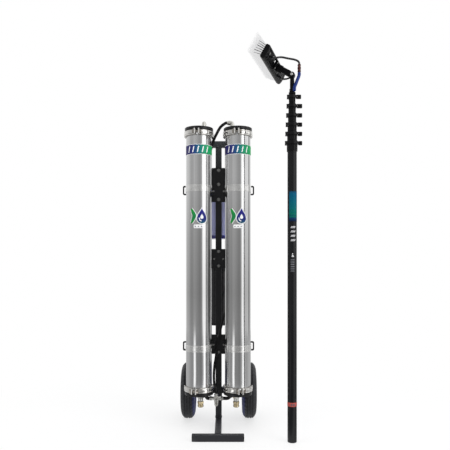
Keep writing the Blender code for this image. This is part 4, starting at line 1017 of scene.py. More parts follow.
hole = [(-0.0028, -0.0068), (-0.0010, -0.0066), (0.0010, -0.0066), (0.0028, -0.0068), (0.0030, -0.0090), (0.0018, -0.0224),
        (0.0008, -0.0236), (-0.0008, -0.0236), (-0.0018, -0.0224), (-0.0030, -0.0090)]
rings = [[lever.verts.new((TEE.x + px, y, TEE.z + pz)) for px, pz in loop] for y, loop in
         ((LEVER_Y - 0.0030, bow), (LEVER_Y, bow), (LEVER_Y, hole), (LEVER_Y - 0.0030, hole))]
for a, b in zip(rings, rings[1:] + rings[:1]):
    for k in range(10):
        lever.faces.new((a[k], a[(k + 1) % 10], b[(k + 1) % 10], b[k]))
bmesh.ops.recalc_face_normals(lever, faces=lever.faces)
piece("drain_lever_plate", lever, PALE_FITTING, "drain_valve", "drain_valve_lever", 0.0007, 3)
piece("drain_lever_nut", join(hexagon(TEE + Vector((0, -0.0120, 0)), TEE + Vector((0, -0.0150, 0)), 0.0080),
                              rod(TEE + Vector((0, -0.0148, 0)), TEE + Vector((0, -0.0168, 0)), 0.0022, 20)), NICKEL, "drain_valve", ())

piece("bottom_hose_run_left", hose([(-0.0490, -0.0830, CAP_LOW - 0.0006), (-0.0490, -0.0830, 0.1320), (-0.0445, -0.0802, 0.1214), (-0.0352, -0.0800, 0.1200)], 0.0068, 20, 10), HOSE_BLACK, "cart", "bottom_hose_left")
piece("bottom_hose_run_right", hose([(0.0480, -0.0830, CAP_LOW - 0.0006), (0.0480, -0.0830, 0.1320), (0.0380, -0.0805, 0.1212), (0.0186, -0.0800, 0.1200)], 0.0068, 20, 10), HOSE_BLACK, "cart", "bottom_hose_right")
elbows = [turned([(0, CAP_LOW - 0.0140), (0.0082, CAP_LOW - 0.0140), (0.0092, CAP_LOW - 0.0120), (0.0092, CAP_LOW - 0.0003), (0, CAP_LOW - 0.0003)], 36, (x, -0.0830), rad=0.0006) for x in (-0.0490, 0.0480)]
piece("bottom_hose_sockets", join(*elbows), CAP_BLACK, "cart", (), angle=40)
piece("feed_hose_run", hose([(0.0840, FILTER_Y, 0.6780), (0.0930, FILTER_Y, 0.6776), (0.1000, 0.0600, 0.6450), (0.0780, 0.0200, 0.5700),
                             (0.0470, -0.0180, 0.5000), (0.0260, -0.0270, 0.4500), (0.0167, -0.0290, 0.4200), (0.0074, -0.0290, 0.3845),
                             (0.0002, -0.0290, 0.3441), (-0.0060, -0.0290, 0.3150), (-0.0115, -0.0290, 0.2700), (-0.0165, -0.0280, 0.2391),
                             (-0.0190, -0.0300, 0.1950), (-0.0160, -0.0480, 0.1620), (-0.0100, -0.0720, 0.1530), (TEE.x, TEE.y + 0.0026, TEE.z + 0.0186)], 0.0051), HOSE_BLACK, "cart", "feed_hose")


# ----------------------------------------------------------------- filters
def filter_head(top, low):
    """Moulded head: domed lid with ribs, pad to the post, a boss on each side."""
    zc = top - 0.036
    lid = turned([(0, low), (0.0590, low), (0.0600, low + 0.004), (0.0600, top - 0.014), (0.0560, top - 0.0080), (0.0490, top - 0.0045),
                  (0.0220, top - 0.0030), (0, top - 0.0030)], 96, (0, FILTER_Y), rad=0.0020)
    ribs = []
    for k in range(24):
        a = 2 * math.pi * (k + 0.5) / 24
        c = Vector((math.cos(a), math.sin(a), 0))
        m = Matrix.Translation((0, FILTER_Y, 0)) @ Matrix.Rotation(a, 4, "Z")
        if abs(math.sin(a)) > 0.35 and math.sin(a) < 0 or abs(math.sin(a)) < 0.30:
            continue
        ribs.append(moved(box(0.0580, 0.0612, -0.0016, 0.0016, low + 0.003, top - 0.017, 0.0010, 2), m))
    pad = box(-0.0300, 0.0300, H + 0.0005, FILTER_Y - 0.040, low + 0.008, top - 0.014, 0.0020)
    ports = []
    for s in (-1, 1):
        end = 0.0840 if s < 0 else 0.0820
        ports.append(rod((s * 0.045, FILTER_Y, zc), (s * 0.0700, FILTER_Y, zc), 0.0150, 48, 0.0015))
        ports.append(rod((s * 0.060, FILTER_Y, zc), (s * end, FILTER_Y, zc), 0.0108, 48, 0.0010))
    button = turned([(0, top - 0.004), (0.0090, top - 0.004), (0.0090, top - 0.0008), (0.0070, top), (0, top)], 40, (0.018, FILTER_Y + 0.012), rad=0.0005)
    return join(lid, pad, *ribs, *ports, button)


def filter_sump(low, top):
    return turned([(0, low), (0.0440, low), (0.0520, low + 0.009), (0.0545, top - 0.030), (0.0612, top - 0.026), (0.0612, top),
                   (0.0500, top), (0.0460, low + 0.006), (0, low + 0.006)], 96, (0, FILTER_Y), rad=0.0016)


def collar_grips(top):
    """Ribs round the sump's collar, for the filter wrench."""
    return join(*[moved(box(0.0606, 0.0618, -0.0022, 0.0022, top - 0.0240, top - 0.0015, 0.0006, 2),
                        Matrix.Translation((0, FILTER_Y, 0)) @ Matrix.Rotation(2 * math.pi * k / 20, 4, "Z")) for k in range(20)])


def pleats(low, top, folds=48):
    s = bmesh.new()
    rings = []
    for z in (low + 0.006, top - 0.006):
        rings.append([s.verts.new((r * math.cos(a), FILTER_Y + r * math.sin(a), z))
                      for r, a in ((0.0300 if k % 2 else 0.0250, math.pi * k / folds) for k in range(2 * folds))])
    for k in range(2 * folds):
        m = (k + 1) % (2 * folds)
        s.faces.new((rings[0][k], rings[0][m], rings[1][m], rings[1][k]))
    s.faces.new(rings[0])
    s.faces.new(rings[1])
    return s


piece("upper_filter_lid", filter_head(1.0550, 0.9900), HEAD_NAVY, "cart", "upper_filter_head")
piece("lower_filter_lid", filter_head(0.7140, 0.6500), HEAD_NAVY, "cart", "lower_filter_head")
piece("upper_filter_bowl", filter_sump(0.7564, 0.9895), SUMP_CLEAR, "cart", "upper_filter_sump", angle=40)
piece("lower_filter_bowl", join(filter_sump(0.3936, 0.6495), collar_grips(0.6495)), SUMP_BLACK, "cart", "lower_filter_sump", angle=40)
piece("upper_bowl_grips", collar_grips(0.9895), SUMP_CLEAR, "cart", ())
piece("cartridge_pleats", pleats(0.7640, 0.9880), PAPER, "cart", "upper_filter_cartridge", angle=20)
piece("cartridge_ends", join(*[turned([(0.0100, a), (0.0310, a), (0.0310, b), (0.0100, b)], 64, (0, FILTER_Y), rad=0.0010)
                               for a, b in ((0.7640, 0.7705), (0.9815, 0.9880))]), WHITE_PRINT, "cart", ())


# ================================================================== wheels
def tyre(x):
    """Pneumatic tyre: rounded section with rib grooves and cut shoulders."""
    w = WHEEL_W / 2
    f = w / 0.0315
    base = [(0.0576, -0.0222 * f), (0.0620, -0.0256 * f), (0.0700, -w + 0.0018), (0.0800, -w), (0.0920, -w + 0.0004), (0.1010, -w + 0.0030),
            (0.1070, -w + 0.0068), (0.1118, -w + 0.0118), (0.1146, -0.0142)]
    ribs = [(0.1150, -0.0122), (0.1128, -0.0114), (0.1128, -0.0096), (0.1157, -0.0088), (0.1160, -0.0030), (0.1136, -0.0022),
            (0.1136, 0.0022), (0.1160, 0.0030), (0.1157, 0.0088), (0.1128, 0.0096), (0.1128, 0.0114), (0.1150, 0.0122)]
    inner = [(0.0576, 0.0222 * f), (0.1020, 0.0150), (0.1020, -0.0150)]
    outer = base + ribs + [(r, -z) for r, z in base[::-1]][:-1] + inner
    n = 216
    s = bmesh.new()
    rings = []
    for r, z in outer:
        ring = []
        for k in range(n):
            a = 2 * math.pi * k / n
            cut = 0.0
            if r > 0.1000 and 0.0118 < abs(z) < w - 0.0015:
                cut = 0.0016 if (k + (3 if z > 0 else 0)) % 6 < 2 else 0.0
            ring.append(s.verts.new((x + z, WHEEL_Y + (r - cut) * math.sin(a), WHEEL_Z - (r - cut) * math.cos(a))))
        rings.append(ring)
    for a, b in zip(rings, rings[1:] + rings[:1]):
        for k in range(n):
            m = (k + 1) % n
            s.faces.new((a[k], a[m], b[m], b[k]))
    # a raised moulding line on each side wall
    for sgn in (-1, 1):
        path = [Vector((x + sgn * (w - 0.0016), WHEEL_Y + 0.0720 * math.sin(2 * math.pi * k / 96), WHEEL_Z - 0.0720 * math.cos(2 * math.pi * k / 96))) for k in range(97)]
        s = join(s, sweep(path, 0.0012, 8))
    return s


def rim(x, sgn):
    stand = Matrix.Translation((x, WHEEL_Y, WHEEL_Z)) @ Matrix.Rotation(math.radians(90), 4, "Y")
    bore = 0.0088
    half = turned([(bore, -0.0270), (0.0170, -0.0270), (0.0180, -0.0060), (0.0300, -0.0075), (0.0430, -0.0060), (0.0470, -0.0210), (0.0560, -0.0230),
                   (0.0574, -0.0240), (0.0574, -0.0222), (0.0520, -0.0180), (0.0520, 0.0180), (0.0574, 0.0222), (0.0574, 0.0240), (0.0560, 0.0230),
                   (0.0470, 0.0210), (0.0430, -0.0005), (0.0300, -0.0020), (0.0180, -0.0005), (0.0170, 0.0270), (bore, 0.0270)], 96, rad=0.0010)
    ribs = []
    for k in range(8):
        m = Matrix.Rotation(2 * math.pi * k / 8, 4, "Z")
        ribs.append(moved(prism([(0.0150, -0.0014), (0.0455, -0.0014), (0.0455, 0.0014), (0.0150, 0.0014)], -0.0030, 0.0140), m))
        ribs.append(moved(prism([(0.0150, -0.0014), (0.0455, -0.0014), (0.0455, 0.0014), (0.0150, 0.0014)], -0.0160, -0.0040), m.copy()))
    lugs = [moved(turned([(0, -0.0100), (0.0042, -0.0100), (0.0042, -0.0040), (0, -0.0040)], 6), Matrix.Rotation(2 * math.pi * (k + 0.5) / 4, 4, "Z") @ Matrix.Translation((0.0310, 0, 0))) for k in range(4)]
    return moved(join(half, *ribs), stand), moved(join(*lugs), stand.copy())


for side, word in ((-1, "left"), (1, "right")):
    x = side * WHEEL_X
    body = "wheel_" + word
    piece("tyre_cover_" + word, tyre(x), TYRES[side], body, "tyre_" + word, angle=50)
    r, lugs = rim(x, side)
    piece("rim_dish_" + word, r, RIM_NAVY, body, "wheel_rim_" + word, angle=40)
    piece("rim_bolts_" + word, lugs, ZINC, body, ())
    bear = []
    for e in (-0.0272, 0.0244):
        bear.append(moved(turned([(0.0084, e), (0.0140, e), (0.0140, e + 0.0030), (0.0084, e + 0.0030)], 48, rad=0.0005),
                          Matrix.Translation((x, WHEEL_Y, WHEEL_Z)) @ Matrix.Rotation(math.radians(90), 4, "Y")))
    piece("wheel_bearings_" + word, join(*bear), NICKEL, body, ())
    vx = x - side * 0.0100
    piece("valve_stem_" + word, stepped((vx - side * 0.004, WHEEL_Y, WHEEL_Z + 0.0490), (vx - side * 0.014, WHEEL_Y, WHEEL_Z + 0.0330),
                                        [(0.0, 0.0042), (0.004, 0.0042), (0.005, 0.0030), (0.013, 0.0028), (0.0132, 0.0034), (0.018, 0.0034)], 24), PLUG_BLACK, body, ())

# ==================================================================== pole
AT = Matrix.Translation((POLE_X, POLE_Y, 0.0))
SECTION_BODY = ["pole_base"] + ["section_%d" % i for i in range(2, 8)]
plug = join(
    turned([(0, 0.0), (0.0150, 0.0), (0.0170, 0.0020), (0.0170, 0.0040), (0.0152, 0.0042), (0.0152, 0.0320), (0, 0.0320)], 64, rad=0.0006),
)
piece("pole_foot_plug", moved(plug, AT), PLUG_BLACK, "pole_base", "base_plug", angle=40)


def clamp_height(i):
    return CLAMP_Z + PITCH * i


def collar_radius(i):
    return POLE_OD[i] / 2 + 0.00375


def tube_rows(r, a, b, step=0.05):
    n = max(1, int((b - a) / step))
    return [(r, a + (b - a) * k / n) for k in range(n + 1)]


TUBE_LOOKS = [carbon("carbon_twill_%d" % (i + 1), POLE_OD[i] / 2) for i in range(7)]
for i in range(7):
    r1 = POLE_OD[i] / 2
    r0 = r1 - POLE_WALL
    low = 0.0044 if i == 0 else 0.0360 + PITCH * (i - 1)
    body = SECTION_BODY[i]
    if i < 6:
        zc, rc = clamp_height(i), collar_radius(i)
        bottom = zc - (0.0305 if i == 0 else PITCH - 0.0095)
        top = zc + 0.0085
        wall = rounded([(r0, low), (r1, low), (r1, bottom + 0.002), (r1 - 0.0004, top - 0.002), (r0, top - 0.002)], 0.0002, 1)
        rows = tube_rows(r1, low, bottom + 0.002) + [(r0, bottom + 0.002)] + tube_rows(r0, low, bottom + 0.002)[::-1][1:]
        piece("pole_tube_%d" % (i + 1), moved(turned(rows, 64), AT), TUBE_LOOKS[i], body, "pole_section_%d" % (i + 1), angle=50)
        # collar: skirt with a rolled lip, ribs, clamp band seat and a top lip
        prof = [(r0, bottom), (r1 + 0.0022, bottom), (r1 + 0.0026, bottom + 0.0010), (r1 + 0.0026, bottom + 0.0036), (r1 + 0.0014, bottom + 0.0046)]
        prof += [(r1 + 0.0014, zc - 0.0085), (rc, zc - 0.0075), (rc, zc - 0.0052), (rc - 0.0006, zc - 0.0050), (rc - 0.0006, zc + 0.0050),
                 (rc, zc + 0.0052), (rc, top - 0.0008), (rc - 0.0008, top), (r0, top)]
        collar = turned(prof, 64, rad=0.0005, n=2)
        ribs = []
        span = (zc - 0.0085) - (bottom + 0.0046)
        if span > 0.004:
            for k in range(12):
                m = Matrix.Rotation(2 * math.pi * (k + 0.5) / 12, 4, "Z")
                ribs.append(moved(box(r1 + 0.0002, r1 + 0.0026, -0.0011, 0.0011, bottom + 0.0044, zc - 0.0080, 0.0006, 2), m))
        ear_x = -(rc + 0.0030)
        ears = []
        for s in (-1, 1):
            a, b = sorted((zc + s * 0.0054, zc + s * 0.0080))
            ears.append(prism(arc(ear_x, 0, 0.0032, 90, 270, 12) + [(-rc + 0.0022, -0.0042), (-rc + 0.0022, 0.0042)], a, b))
        pin = join(rod((ear_x, 0, zc - 0.0086), (ear_x, 0, zc + 0.0086), 0.0011, 16, 0.0002))
        piece("clamp_collar_%d" % (i + 1), moved(join(collar, *ribs), AT), CLAMP_BLACK, body, (), angle=40)
        piece("clamp_ears_%d" % (i + 1), moved(join(*ears), AT), CLAMP_BLACK, body, (), 0.0004, 2)
        piece("clamp_pin_%d" % (i + 1), moved(pin, AT), ZINC, body, ())
    else:
        rows = tube_rows(r1, low, SEAT) + [(r0, SEAT)] + tube_rows(r0, low, SEAT)[::-1][1:]
        piece("pole_tube_7", moved(turned(rows, 48), AT), TUBE_LOOKS[6], body, "pole_section_7", angle=50)

# lever of each clamp: band round the front, hinge knuckle, thumb tip with grip lines
for i in range(6):
    zc, rc = clamp_height(i), collar_radius(i)
    hinge = -(rc + 0.0030)
    reach = 0.0340 if i < 5 else 0.0300
    r0, r1 = rc + 0.0007, rc + 0.0030
    outer = arc(0, 0, r1, 184, 352, 30)
    inner = arc(0, 0, r0, 184, 360, 30)
    tip = [(r1 * 0.985, -0.0060), (reach - 0.0060, -0.0058)] + arc(reach - 0.0030, -0.0022, 0.0030, -70, 60, 8) + [(reach - 0.0035, 0.0032), (r0 + 0.0010, 0.0032)]
    band = prism(outer + tip + inner[::-1], zc - 0.0049, zc + 0.0049)
    knuckle = moved(turned([(0.0014, -0.00485), (0.0028, -0.00485), (0.0028, 0.00485), (0.0014, 0.00485)], 32, rad=0.0003), Matrix.Translation((hinge, 0, zc)))
    pad = box(rc + 0.0010, reach + 0.0025, -0.0062, 0.0032, zc - 0.0076, zc + 0.0076, 0.0024, 3)
    grips = [box(reach - 0.0045 - 0.0028 * k, reach - 0.0037 - 0.0028 * k, -0.0067, -0.0045, zc - 0.0052, zc + 0.0052, 0.0003, 1) for k in range(3)]
    screw = dome_head((r0 + 0.0022, -0.0056, zc), (0, -1, 0), 0.0018, 0.0010)
    name = "clamp_lever_%d" % (i + 1)
    piece("lever_band_%d" % (i + 1), moved(join(band), AT), CLAMP_BLACK, "lever_%d" % (i + 1), name, 0.0009, 3)
    piece("lever_details_%d" % (i + 1), moved(join(knuckle, pad, *grips), AT), CLAMP_BLACK, "lever_%d" % (i + 1), (), angle=40)
    piece("lever_screw_%d" % (i + 1), moved(screw, AT), BOLT_DULL, "lever_%d" % (i + 1), ())


# films printed on the base tube: colour block, bars, small mark, ring
def pole_film(z0, z1, a0, a1, r, columns=48, lean=0.0):
    """A film on the base tube between two heights and two angles (0 is the front)."""
    s = bmesh.new()
    n = max(2, int((z1 - z0) / 0.01))
    grid = []
    for j in range(n + 1):
        z = z0 + (z1 - z0) * j / n
        d = lean * j / n
        grid.append([s.verts.new((POLE_X + r * math.sin(a), POLE_Y - r * math.cos(a), z))
                     for a in (math.radians(a0 + d + (a1 - a0) * k / columns) for k in range(columns + 1))])
    for p, q in zip(grid, grid[1:]):
        for k in range(columns):
            s.faces.new((p[k], p[k + 1], q[k + 1], q[k]))
    return s


R1 = POLE_OD[0] / 2 + 0.00015
COLOUR_BLOCK = printed("pole_label_colour", 0.807, 0.917, 2,
                       [(0.0, (0.003, 0.010, 0.040)), (0.10, (0.002, 0.030, 0.090)), (0.24, (0.000, 0.110, 0.085)), (0.45, (0.000, 0.105, 0.125)),
                        (0.70, (0.000, 0.090, 0.140)), (0.92, (0.000, 0.075, 0.150)), (1.0, (0.001, 0.040, 0.085))], 0.42, 0.004, 0.08)
GREY_PATCH = printed("pole_label_grey", 0.624, 0.672, 2, [(0.0, (0.06, 0.065, 0.075)), (0.5, (0.12, 0.125, 0.14)), (1.0, (0.07, 0.075, 0.085))], 0.4)
RED_RING = printed("red_ring", 0.13, 0.15, 2, [(0.0, (0.35, 0.035, 0.025)), (1.0, (0.42, 0.045, 0.03))], 0.32)
piece("pole_label_block", pole_film(0.807, 0.917, -46, 128, R1, 64), COLOUR_BLOCK, "pole_base", (), thick=0.00010)
waves = [pole_film(0.822 + 0.012 * k, 0.8250 + 0.012 * k, -44 + 8 * k, 60 + 6 * k, R1 + 0.00014, 32, 8) for k in range(3)]
piece("pole_label_waves", join(*waves), printed("label_teal", 0.80, 0.86, 2, [(0.0, (0.000, 0.150, 0.075)), (1.0, (0.000, 0.120, 0.110))], 0.42, 0.004, 0.08), "pole_base", (), thick=0.00008)
bars = [pole_film(0.7350 + 0.0158 * k, 0.7424 + 0.0158 * k, -30, 26, R1, 20, 14) for k in range(4)]
piece("pole_label_bars", join(*bars), POLE_PRINT, "pole_base", (), thick=0.00010)
mark = join(pole_film(0.6780, 0.6800, -16, 16, R1, 10), pole_film(0.6820, 0.6850, -10, 10, R1, 10), pole_film(0.6870, 0.6915, -4, 4, R1, 6))
piece("pole_label_mark", mark, WHITE_PRINT, "pole_base", (), thick=0.00010)
piece("pole_label_grey", join(*[pole_film(0.6240 + 0.0082 * k, 0.6285 + 0.0082 * k, -26, 22, R1, 16) for k in range(6)]), GREY_PATCH, "pole_base", (), thick=0.00010)
piece("pole_ring_red", moved(turned([(R1, 0.1325), (R1 + 0.00035, 0.1328), (R1 + 0.00035, 0.1470), (R1, 0.1473)], 64), AT), RED_RING, "pole_base", (), angle=50)
piece("pole_ring_marks", join(pole_film(0.1365, 0.1432, -20, -6, R1 + 0.0004, 8), pole_film(0.1365, 0.1432, 4, 22, R1 + 0.0004, 8)), DARK_PRINT, "pole_base", (), thick=0.00008)

# neck of the top section, with the eye of the brush hinge
neck = [(0.0050, SEAT - 0.001), (0.0118, SEAT), (0.0125, SEAT + 0.0008), (0.0125, SEAT + 0.0070), (0.0100, SEAT + 0.0084), (0.0088, SEAT + 0.0096),
        (0.0082, SEAT + 0.0120), (0.0080, PIVOT_Z - 0.0220), (0.0074, PIVOT_Z - 0.0190), (0.0050, PIVOT_Z - 0.0190)]
turn = Matrix.Rotation(HEAD_TURN, 4, "Z")
stem = moved(box(-0.0072, 0.0072, -0.0050, 0.0050, PIVOT_Z - 0.0260, PIVOT_Z, 0.0012), turn)
across = turn @ Vector((0, 1, 0))
at = Vector((0, 0, PIVOT_Z))
eye = moved(turned([(0.0034, -0.0054), (0.0104, -0.0054), (0.0104, 0.0054), (0.0034, 0.0054)], 48, rad=0.0008), aim(at, at + across))
gussets = [moved(moved(box(0.0076, 0.0100, -0.0012, 0.0012, SEAT + 0.0080, SEAT + 0.0200, 0.0005, 2), Matrix.Rotation(2 * math.pi * k / 6, 4, "Z")), AT) for k in range(6)]
piece("neck_body", join(moved(turned(neck, 64, rad=0.0004, n=2), AT), moved(stem, AT), moved(eye, AT), *gussets), HEAD_BLACK, "section_7", (), angle=40)
bolt = join(
    rod(at - across * 0.0135, at + across * 0.0135, 0.0030, 32, 0.0005),
    hexagon(at + across * 0.0106, at + across * 0.0146, 0.0090), hexagon(at - across * 0.0106, at - across * 0.0146, 0.0090, turn=0.4),
)
piece("hinge_bolt", moved(bolt, AT), NICKEL, "section_7", ())


# ============================================================== brush head
def on_head(u, v, w):
    return HEAD @ Vector((u, v, w))


arm = join(
    box(0.0160, STOCK_NEAR - 0.0030, -0.0098, 0.0098, -0.0102, 0.0102, 0.0020),
    *[moved(turned([(0.0036, -0.0020), (0.0104, -0.0020), (0.0104, 0.0020), (0.0036, 0.0020)], 48, rad=0.0008), Matrix.Translation((0, s * 0.0081, 0)) @ Matrix.Rotation(math.radians(90), 4, "X")) for s in (-1, 1)],
    *[box(0.0085, 0.0210, *sorted((s * 0.0061, s * 0.0101)), -0.0100, 0.0100, 0.0014) for s in (-1, 1)],
    box(STOCK_NEAR - 0.0060, STOCK_NEAR - 0.0003, -0.0300, 0.0300, -0.0170, 0.0170, 0.0016),
    *[box(STOCK_NEAR - 0.0260, STOCK_NEAR - 0.0040, *sorted((s * 0.0040, s * 0.0068)), *sorted((t * 0.0092, t * 0.0128)), 0.0010, 2) for s in (-1, 1) for t in (-1, 1)],
)
for k in range(4):
    x0 = 0.0235 + 0.0070 * k
    for s in (-1, 1):
        arm = join(arm, box(x0, x0 + 0.0022, *sorted((s * 0.0094, s * 0.0106)), -0.0080, 0.0080, 0.0005, 2))
piece("head_arm_body", moved(arm, HEAD), HEAD_BLACK, "head", "head_arm", angle=40)
screws = [moved(dome_head((STOCK_NEAR - 0.0060, v, w), (-1, 0, 0), 0.0034, 0.0020), HEAD) for v in (-0.0240, 0.0240) for w in (-0.0105, 0.0105)]
piece("head_arm_screws", join(*screws), BOLT_DULL, "head", ())

# stock: rounded block with a raised back, recessed pockets and bristle face
def stock():
    """Closed loft along the brush: every station is a rounded section."""
    s = bmesh.new()
    stations = []
    L = BRUSH_L / 2
    for k in range(61):
        v = -L + 2 * L * k / 60
        e = min(1.0, (L - abs(v)) / 0.0060)
        bulge = math.sqrt(max(0.0, 1 - (1 - e) ** 2))
        stations.append((v, 0.60 + 0.40 * bulge))
    rings = []
    for v, f in stations:
        half = BRUSH_W / 2 * (0.80 + 0.20 * f) if abs(v) > L - 0.006 else BRUSH_W / 2
        crown = 0.0036 * math.cos(v / L * math.pi / 2)
        back = STOCK_NEAR + 0.0032 - crown * 0.0
        ring = []
        sec = [(STOCK_FAR, -half + 0.0022), (STOCK_FAR - 0.0022, -half), (back + 0.0046, -half), (back + 0.0012, -half + 0.0034),
               (back, -half + 0.0090), (back - 0.0014 * f, -0.0080), (back - 0.0014 * f, 0.0080), (back, half - 0.0090), (back + 0.0012, half - 0.0034),
               (back + 0.0046, half), (STOCK_FAR - 0.0022, half), (STOCK_FAR, half - 0.0022)]
        for u, w in sec:
            ring.append(s.verts.new((u, v, w)))
        rings.append(ring)
    n = len(rings[0])
    for a, b in zip(rings, rings[1:]):
        for k in range(n):
            m = (k + 1) % n
            s.faces.new((a[k], a[m], b[m], b[k]))
    s.faces.new(rings[0])
    s.faces.new(rings[-1])
    return s


ribs = []
for k in range(-6, 7):
    if abs(k) < 2:
        continue
    v = k * 0.0215
    ribs.append(box(STOCK_NEAR + 0.0012, STOCK_NEAR + 0.0040, v - 0.0010, v + 0.0010, -0.0165, 0.0165, 0.0006, 2))
rails = [box(STOCK_NEAR + 0.0010, STOCK_NEAR + 0.0040, *sorted((s * 0.0330, s * 0.1400)), w - 0.0012, w + 0.0012, 0.0006, 2) for s in (-1, 1) for w in (-0.0170, 0.0170)]
pad = box(STOCK_NEAR + 0.0002, STOCK_NEAR + 0.0040, -0.0340, 0.0340, -0.0190, 0.0190, 0.0010, 2)
piece("brush_block", moved(stock(), HEAD), HEAD_BLACK, "head", "brush_stock", 0.0008, 2, angle=25)
piece("brush_block_ribs", moved(join(pad, *ribs, *rails), HEAD), HEAD_BLACK, "head", (), angle=40)

jets = []
for v, w in ((0.1020, 0.0020), (-0.0700, -0.0120)):
    jets.append(stepped((STOCK_NEAR + 0.0035, v, w), (STOCK_NEAR - 0.0085, v, w), [(0.0, 0.0058), (0.003, 0.0058), (0.0032, 0.0046), (0.0085, 0.0040), (0.0120, 0.0036)], 28))
piece("jet_sockets", moved(join(*jets), HEAD), HEAD_BLACK, "head", (), angle=40)
caps = [stepped((STOCK_NEAR + 0.0022, v, w), (STOCK_NEAR - 0.0012, v, w), [(0.0, 0.0036), (0.0022, 0.0035), (0.0034, 0.0028)], 32) for v, w in ((0.0420, 0.0060),)]
piece("jet_caps", moved(join(*caps), HEAD), WHITE_PRINT, "head", (), angle=40)
rings = [moved(turned([(0.0032, 0), (0.0056, 0), (0.0050, 0.0012), (0.0036, 0.0012)], 36, rad=0.0003), aim((STOCK_NEAR + 0.0020, v, w), (STOCK_NEAR - 0.1, v, w))) for v, w in ((0.1180, 0.0050), (0.0720, 0.0090))]
piece("spare_jet_port", moved(join(*rings), HEAD), BOLT_DULL, "head", (), angle=40)


def strand(s, p0, p3, bend, thick):
    """One filament: a thin tapered prism in two steps."""
    rings = []
    for t3 in (0.0, 0.5, 1.0):
        p = p0.lerp(p3, t3) + bend * math.sin(math.pi * t3)
        rr = thick * (1 - 0.5 * t3)
        rings.append([s.verts.new(p + Vector((0, rr * math.cos(x), rr * math.sin(x)))) for x in (0.0, 2.094, 4.189)])
    for lo_, hi_ in zip(rings, rings[1:]):
        for k in range(3):
            s.faces.new((lo_[k], lo_[(k + 1) % 3], hi_[(k + 1) % 3], hi_[k]))
    s.faces.new(rings[0])
    s.faces.new(rings[-1])


def tufts(rows, columns, per_tuft):
    """Rows of tufts that spread and lean upwards, with soft split tips."""
    s = bmesh.new()
    for a in range(rows):
        for b in range(columns):
            fw = (a / (rows - 1)) * 2 - 1
            fv = (b / (columns - 1)) * 2 - 1
            foot = Vector((STOCK_FAR - 0.0010, fv * (BRUSH_L / 2 - 0.0100), fw * (BRUSH_W / 2 - 0.0065)))
            tip = Vector((0, fv * (BRUSH_L / 2 + 0.0010), fw * (BRUSH_W / 2 + 0.0070) + 0.0085))
            for _ in range(per_tuft):
                r, t = 0.0024 * math.sqrt(RNG.random()), RNG.random() * 2 * math.pi
                q, g = 0.0046 * math.sqrt(RNG.random()), RNG.random() * 2 * math.pi
                length = 0.0510 + (RNG.random() - 0.75) * 0.0060
                p0 = foot + Vector((0, r * math.cos(t), r * math.sin(t)))
                p3 = Vector((STOCK_FAR + length, tip.y + q * math.cos(g), tip.z + q * math.sin(g)))
                bend = Vector((0, (RNG.random() - 0.5) * 0.0018, (RNG.random() - 0.8) * 0.0018))
                strand(s, p0, p3, bend, 0.00017)
    return s


def dark_fans():
    """Short stiff tufts near one end: each a fan of a few thick filaments."""
    s = bmesh.new()
    for sign in (1, -1):
        for w, lean, back in ((0.0175, 0.0040, 0.0), (0.0115, 0.0026, 0.0030), (0.0050, 0.0008, 0.0), (-0.0015, -0.0012, 0.0030),
                              (-0.0085, -0.0034, 0.0), (-0.0155, -0.0058, 0.0030)):
            foot = Vector((STOCK_FAR - 0.0008, sign * (BRUSH_L / 2 - 0.0045 - back), w))
            for _ in range(16):
                r, t = 0.0008 * math.sqrt(RNG.random()), RNG.random() * 2 * math.pi
                jit = Vector((0, r * math.cos(t), r * math.sin(t)))
                tip = Vector((STOCK_FAR + 0.0270 + RNG.random() * 0.0040, foot.y + sign * 0.0016, w + lean)) + jit * 1.4
                strand(s, foot + jit, tip, Vector((0, 0, 0.0003)), 0.00036)
    return s


piece("bristle_tufts", moved(tufts(9, 46, 20), HEAD), BRISTLE, "head", "bristle_pack", angle=80)
piece("bristle_tufts_dark", moved(dark_fans(), HEAD), BRISTLE_DARK, "head", (), angle=80)

# jet hoses are built on the head's body, then taken off it and left fixed where they are; the connector and the blue
# hose stay with the neck
out = HEAD.to_3x3() @ Vector((-1, 0, 0))
a = on_head(STOCK_NEAR - 0.0015, 0.1020, 0.0020)
upper = piece("jet_hose_upper", hose([a, a + out * 0.008, on_head(0.0540, 0.0900, 0.0095), (0.2285, -0.2815, 1.3935), (0.2550, -0.2620, 1.3962), (0.2790, -0.2500, 1.3965),
                                      (0.2925, -0.2415, 1.3942), (0.2973, -0.2385, 1.3895), (0.2980, -0.2380, 1.3862)], 0.0036, 20, 12), HOSE_BLACK, "head", "upper_jet_hose")
b = on_head(STOCK_NEAR - 0.0015, -0.0700, -0.0120)
lower = piece("jet_hose_lower", hose([b, b + out * 0.008, (0.2392, -0.1750, 1.3530), (0.2405, -0.1930, 1.3440), (0.2480, -0.2110, 1.3384),
                                      (0.2560, -0.2210, 1.3366), (0.2645, -0.2310, 1.3366)], 0.0032, 20, 12), HOSE_BLACK, "head", "lower_jet_hose")
for o, start, end in ((upper, (0.2980, -0.2380, 1.3862), a), (lower, (0.2645, -0.2310, 1.3366), b)):
    o.parent = None
    del o["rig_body"]
    tuple(end)
    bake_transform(o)
    tuple(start)
piece("jet_connector", turned([(0, 1.3535), (0.0042, 1.3535), (0.0052, 1.3550), (0.0052, 1.3560), (0.0056, 1.3566), (0.0056, 1.3646), (0.0052, 1.3652),
                               (0.0062, 1.3660), (0.0062, 1.3735), (0.0054, 1.3742), (0.0054, 1.3818), (0.0046, 1.3840), (0.0036, 1.3855), (0, 1.3855)],
                              40, (0.2980, -0.2380), rad=0.0003), RED_BROWN, "section_7", "hose_connector", angle=40)
piece("connector_rings", join(*[turned([(0.0050, z0), (0.0066, z0), (0.0066, z0 + 0.0016), (0.0050, z0 + 0.0016)], 40, (0.2980, -0.2380), rad=0.0004) for z0 in (1.3570, 1.3688, 1.3800)]),
      CLAMP_BLACK, "section_7", (), angle=40)
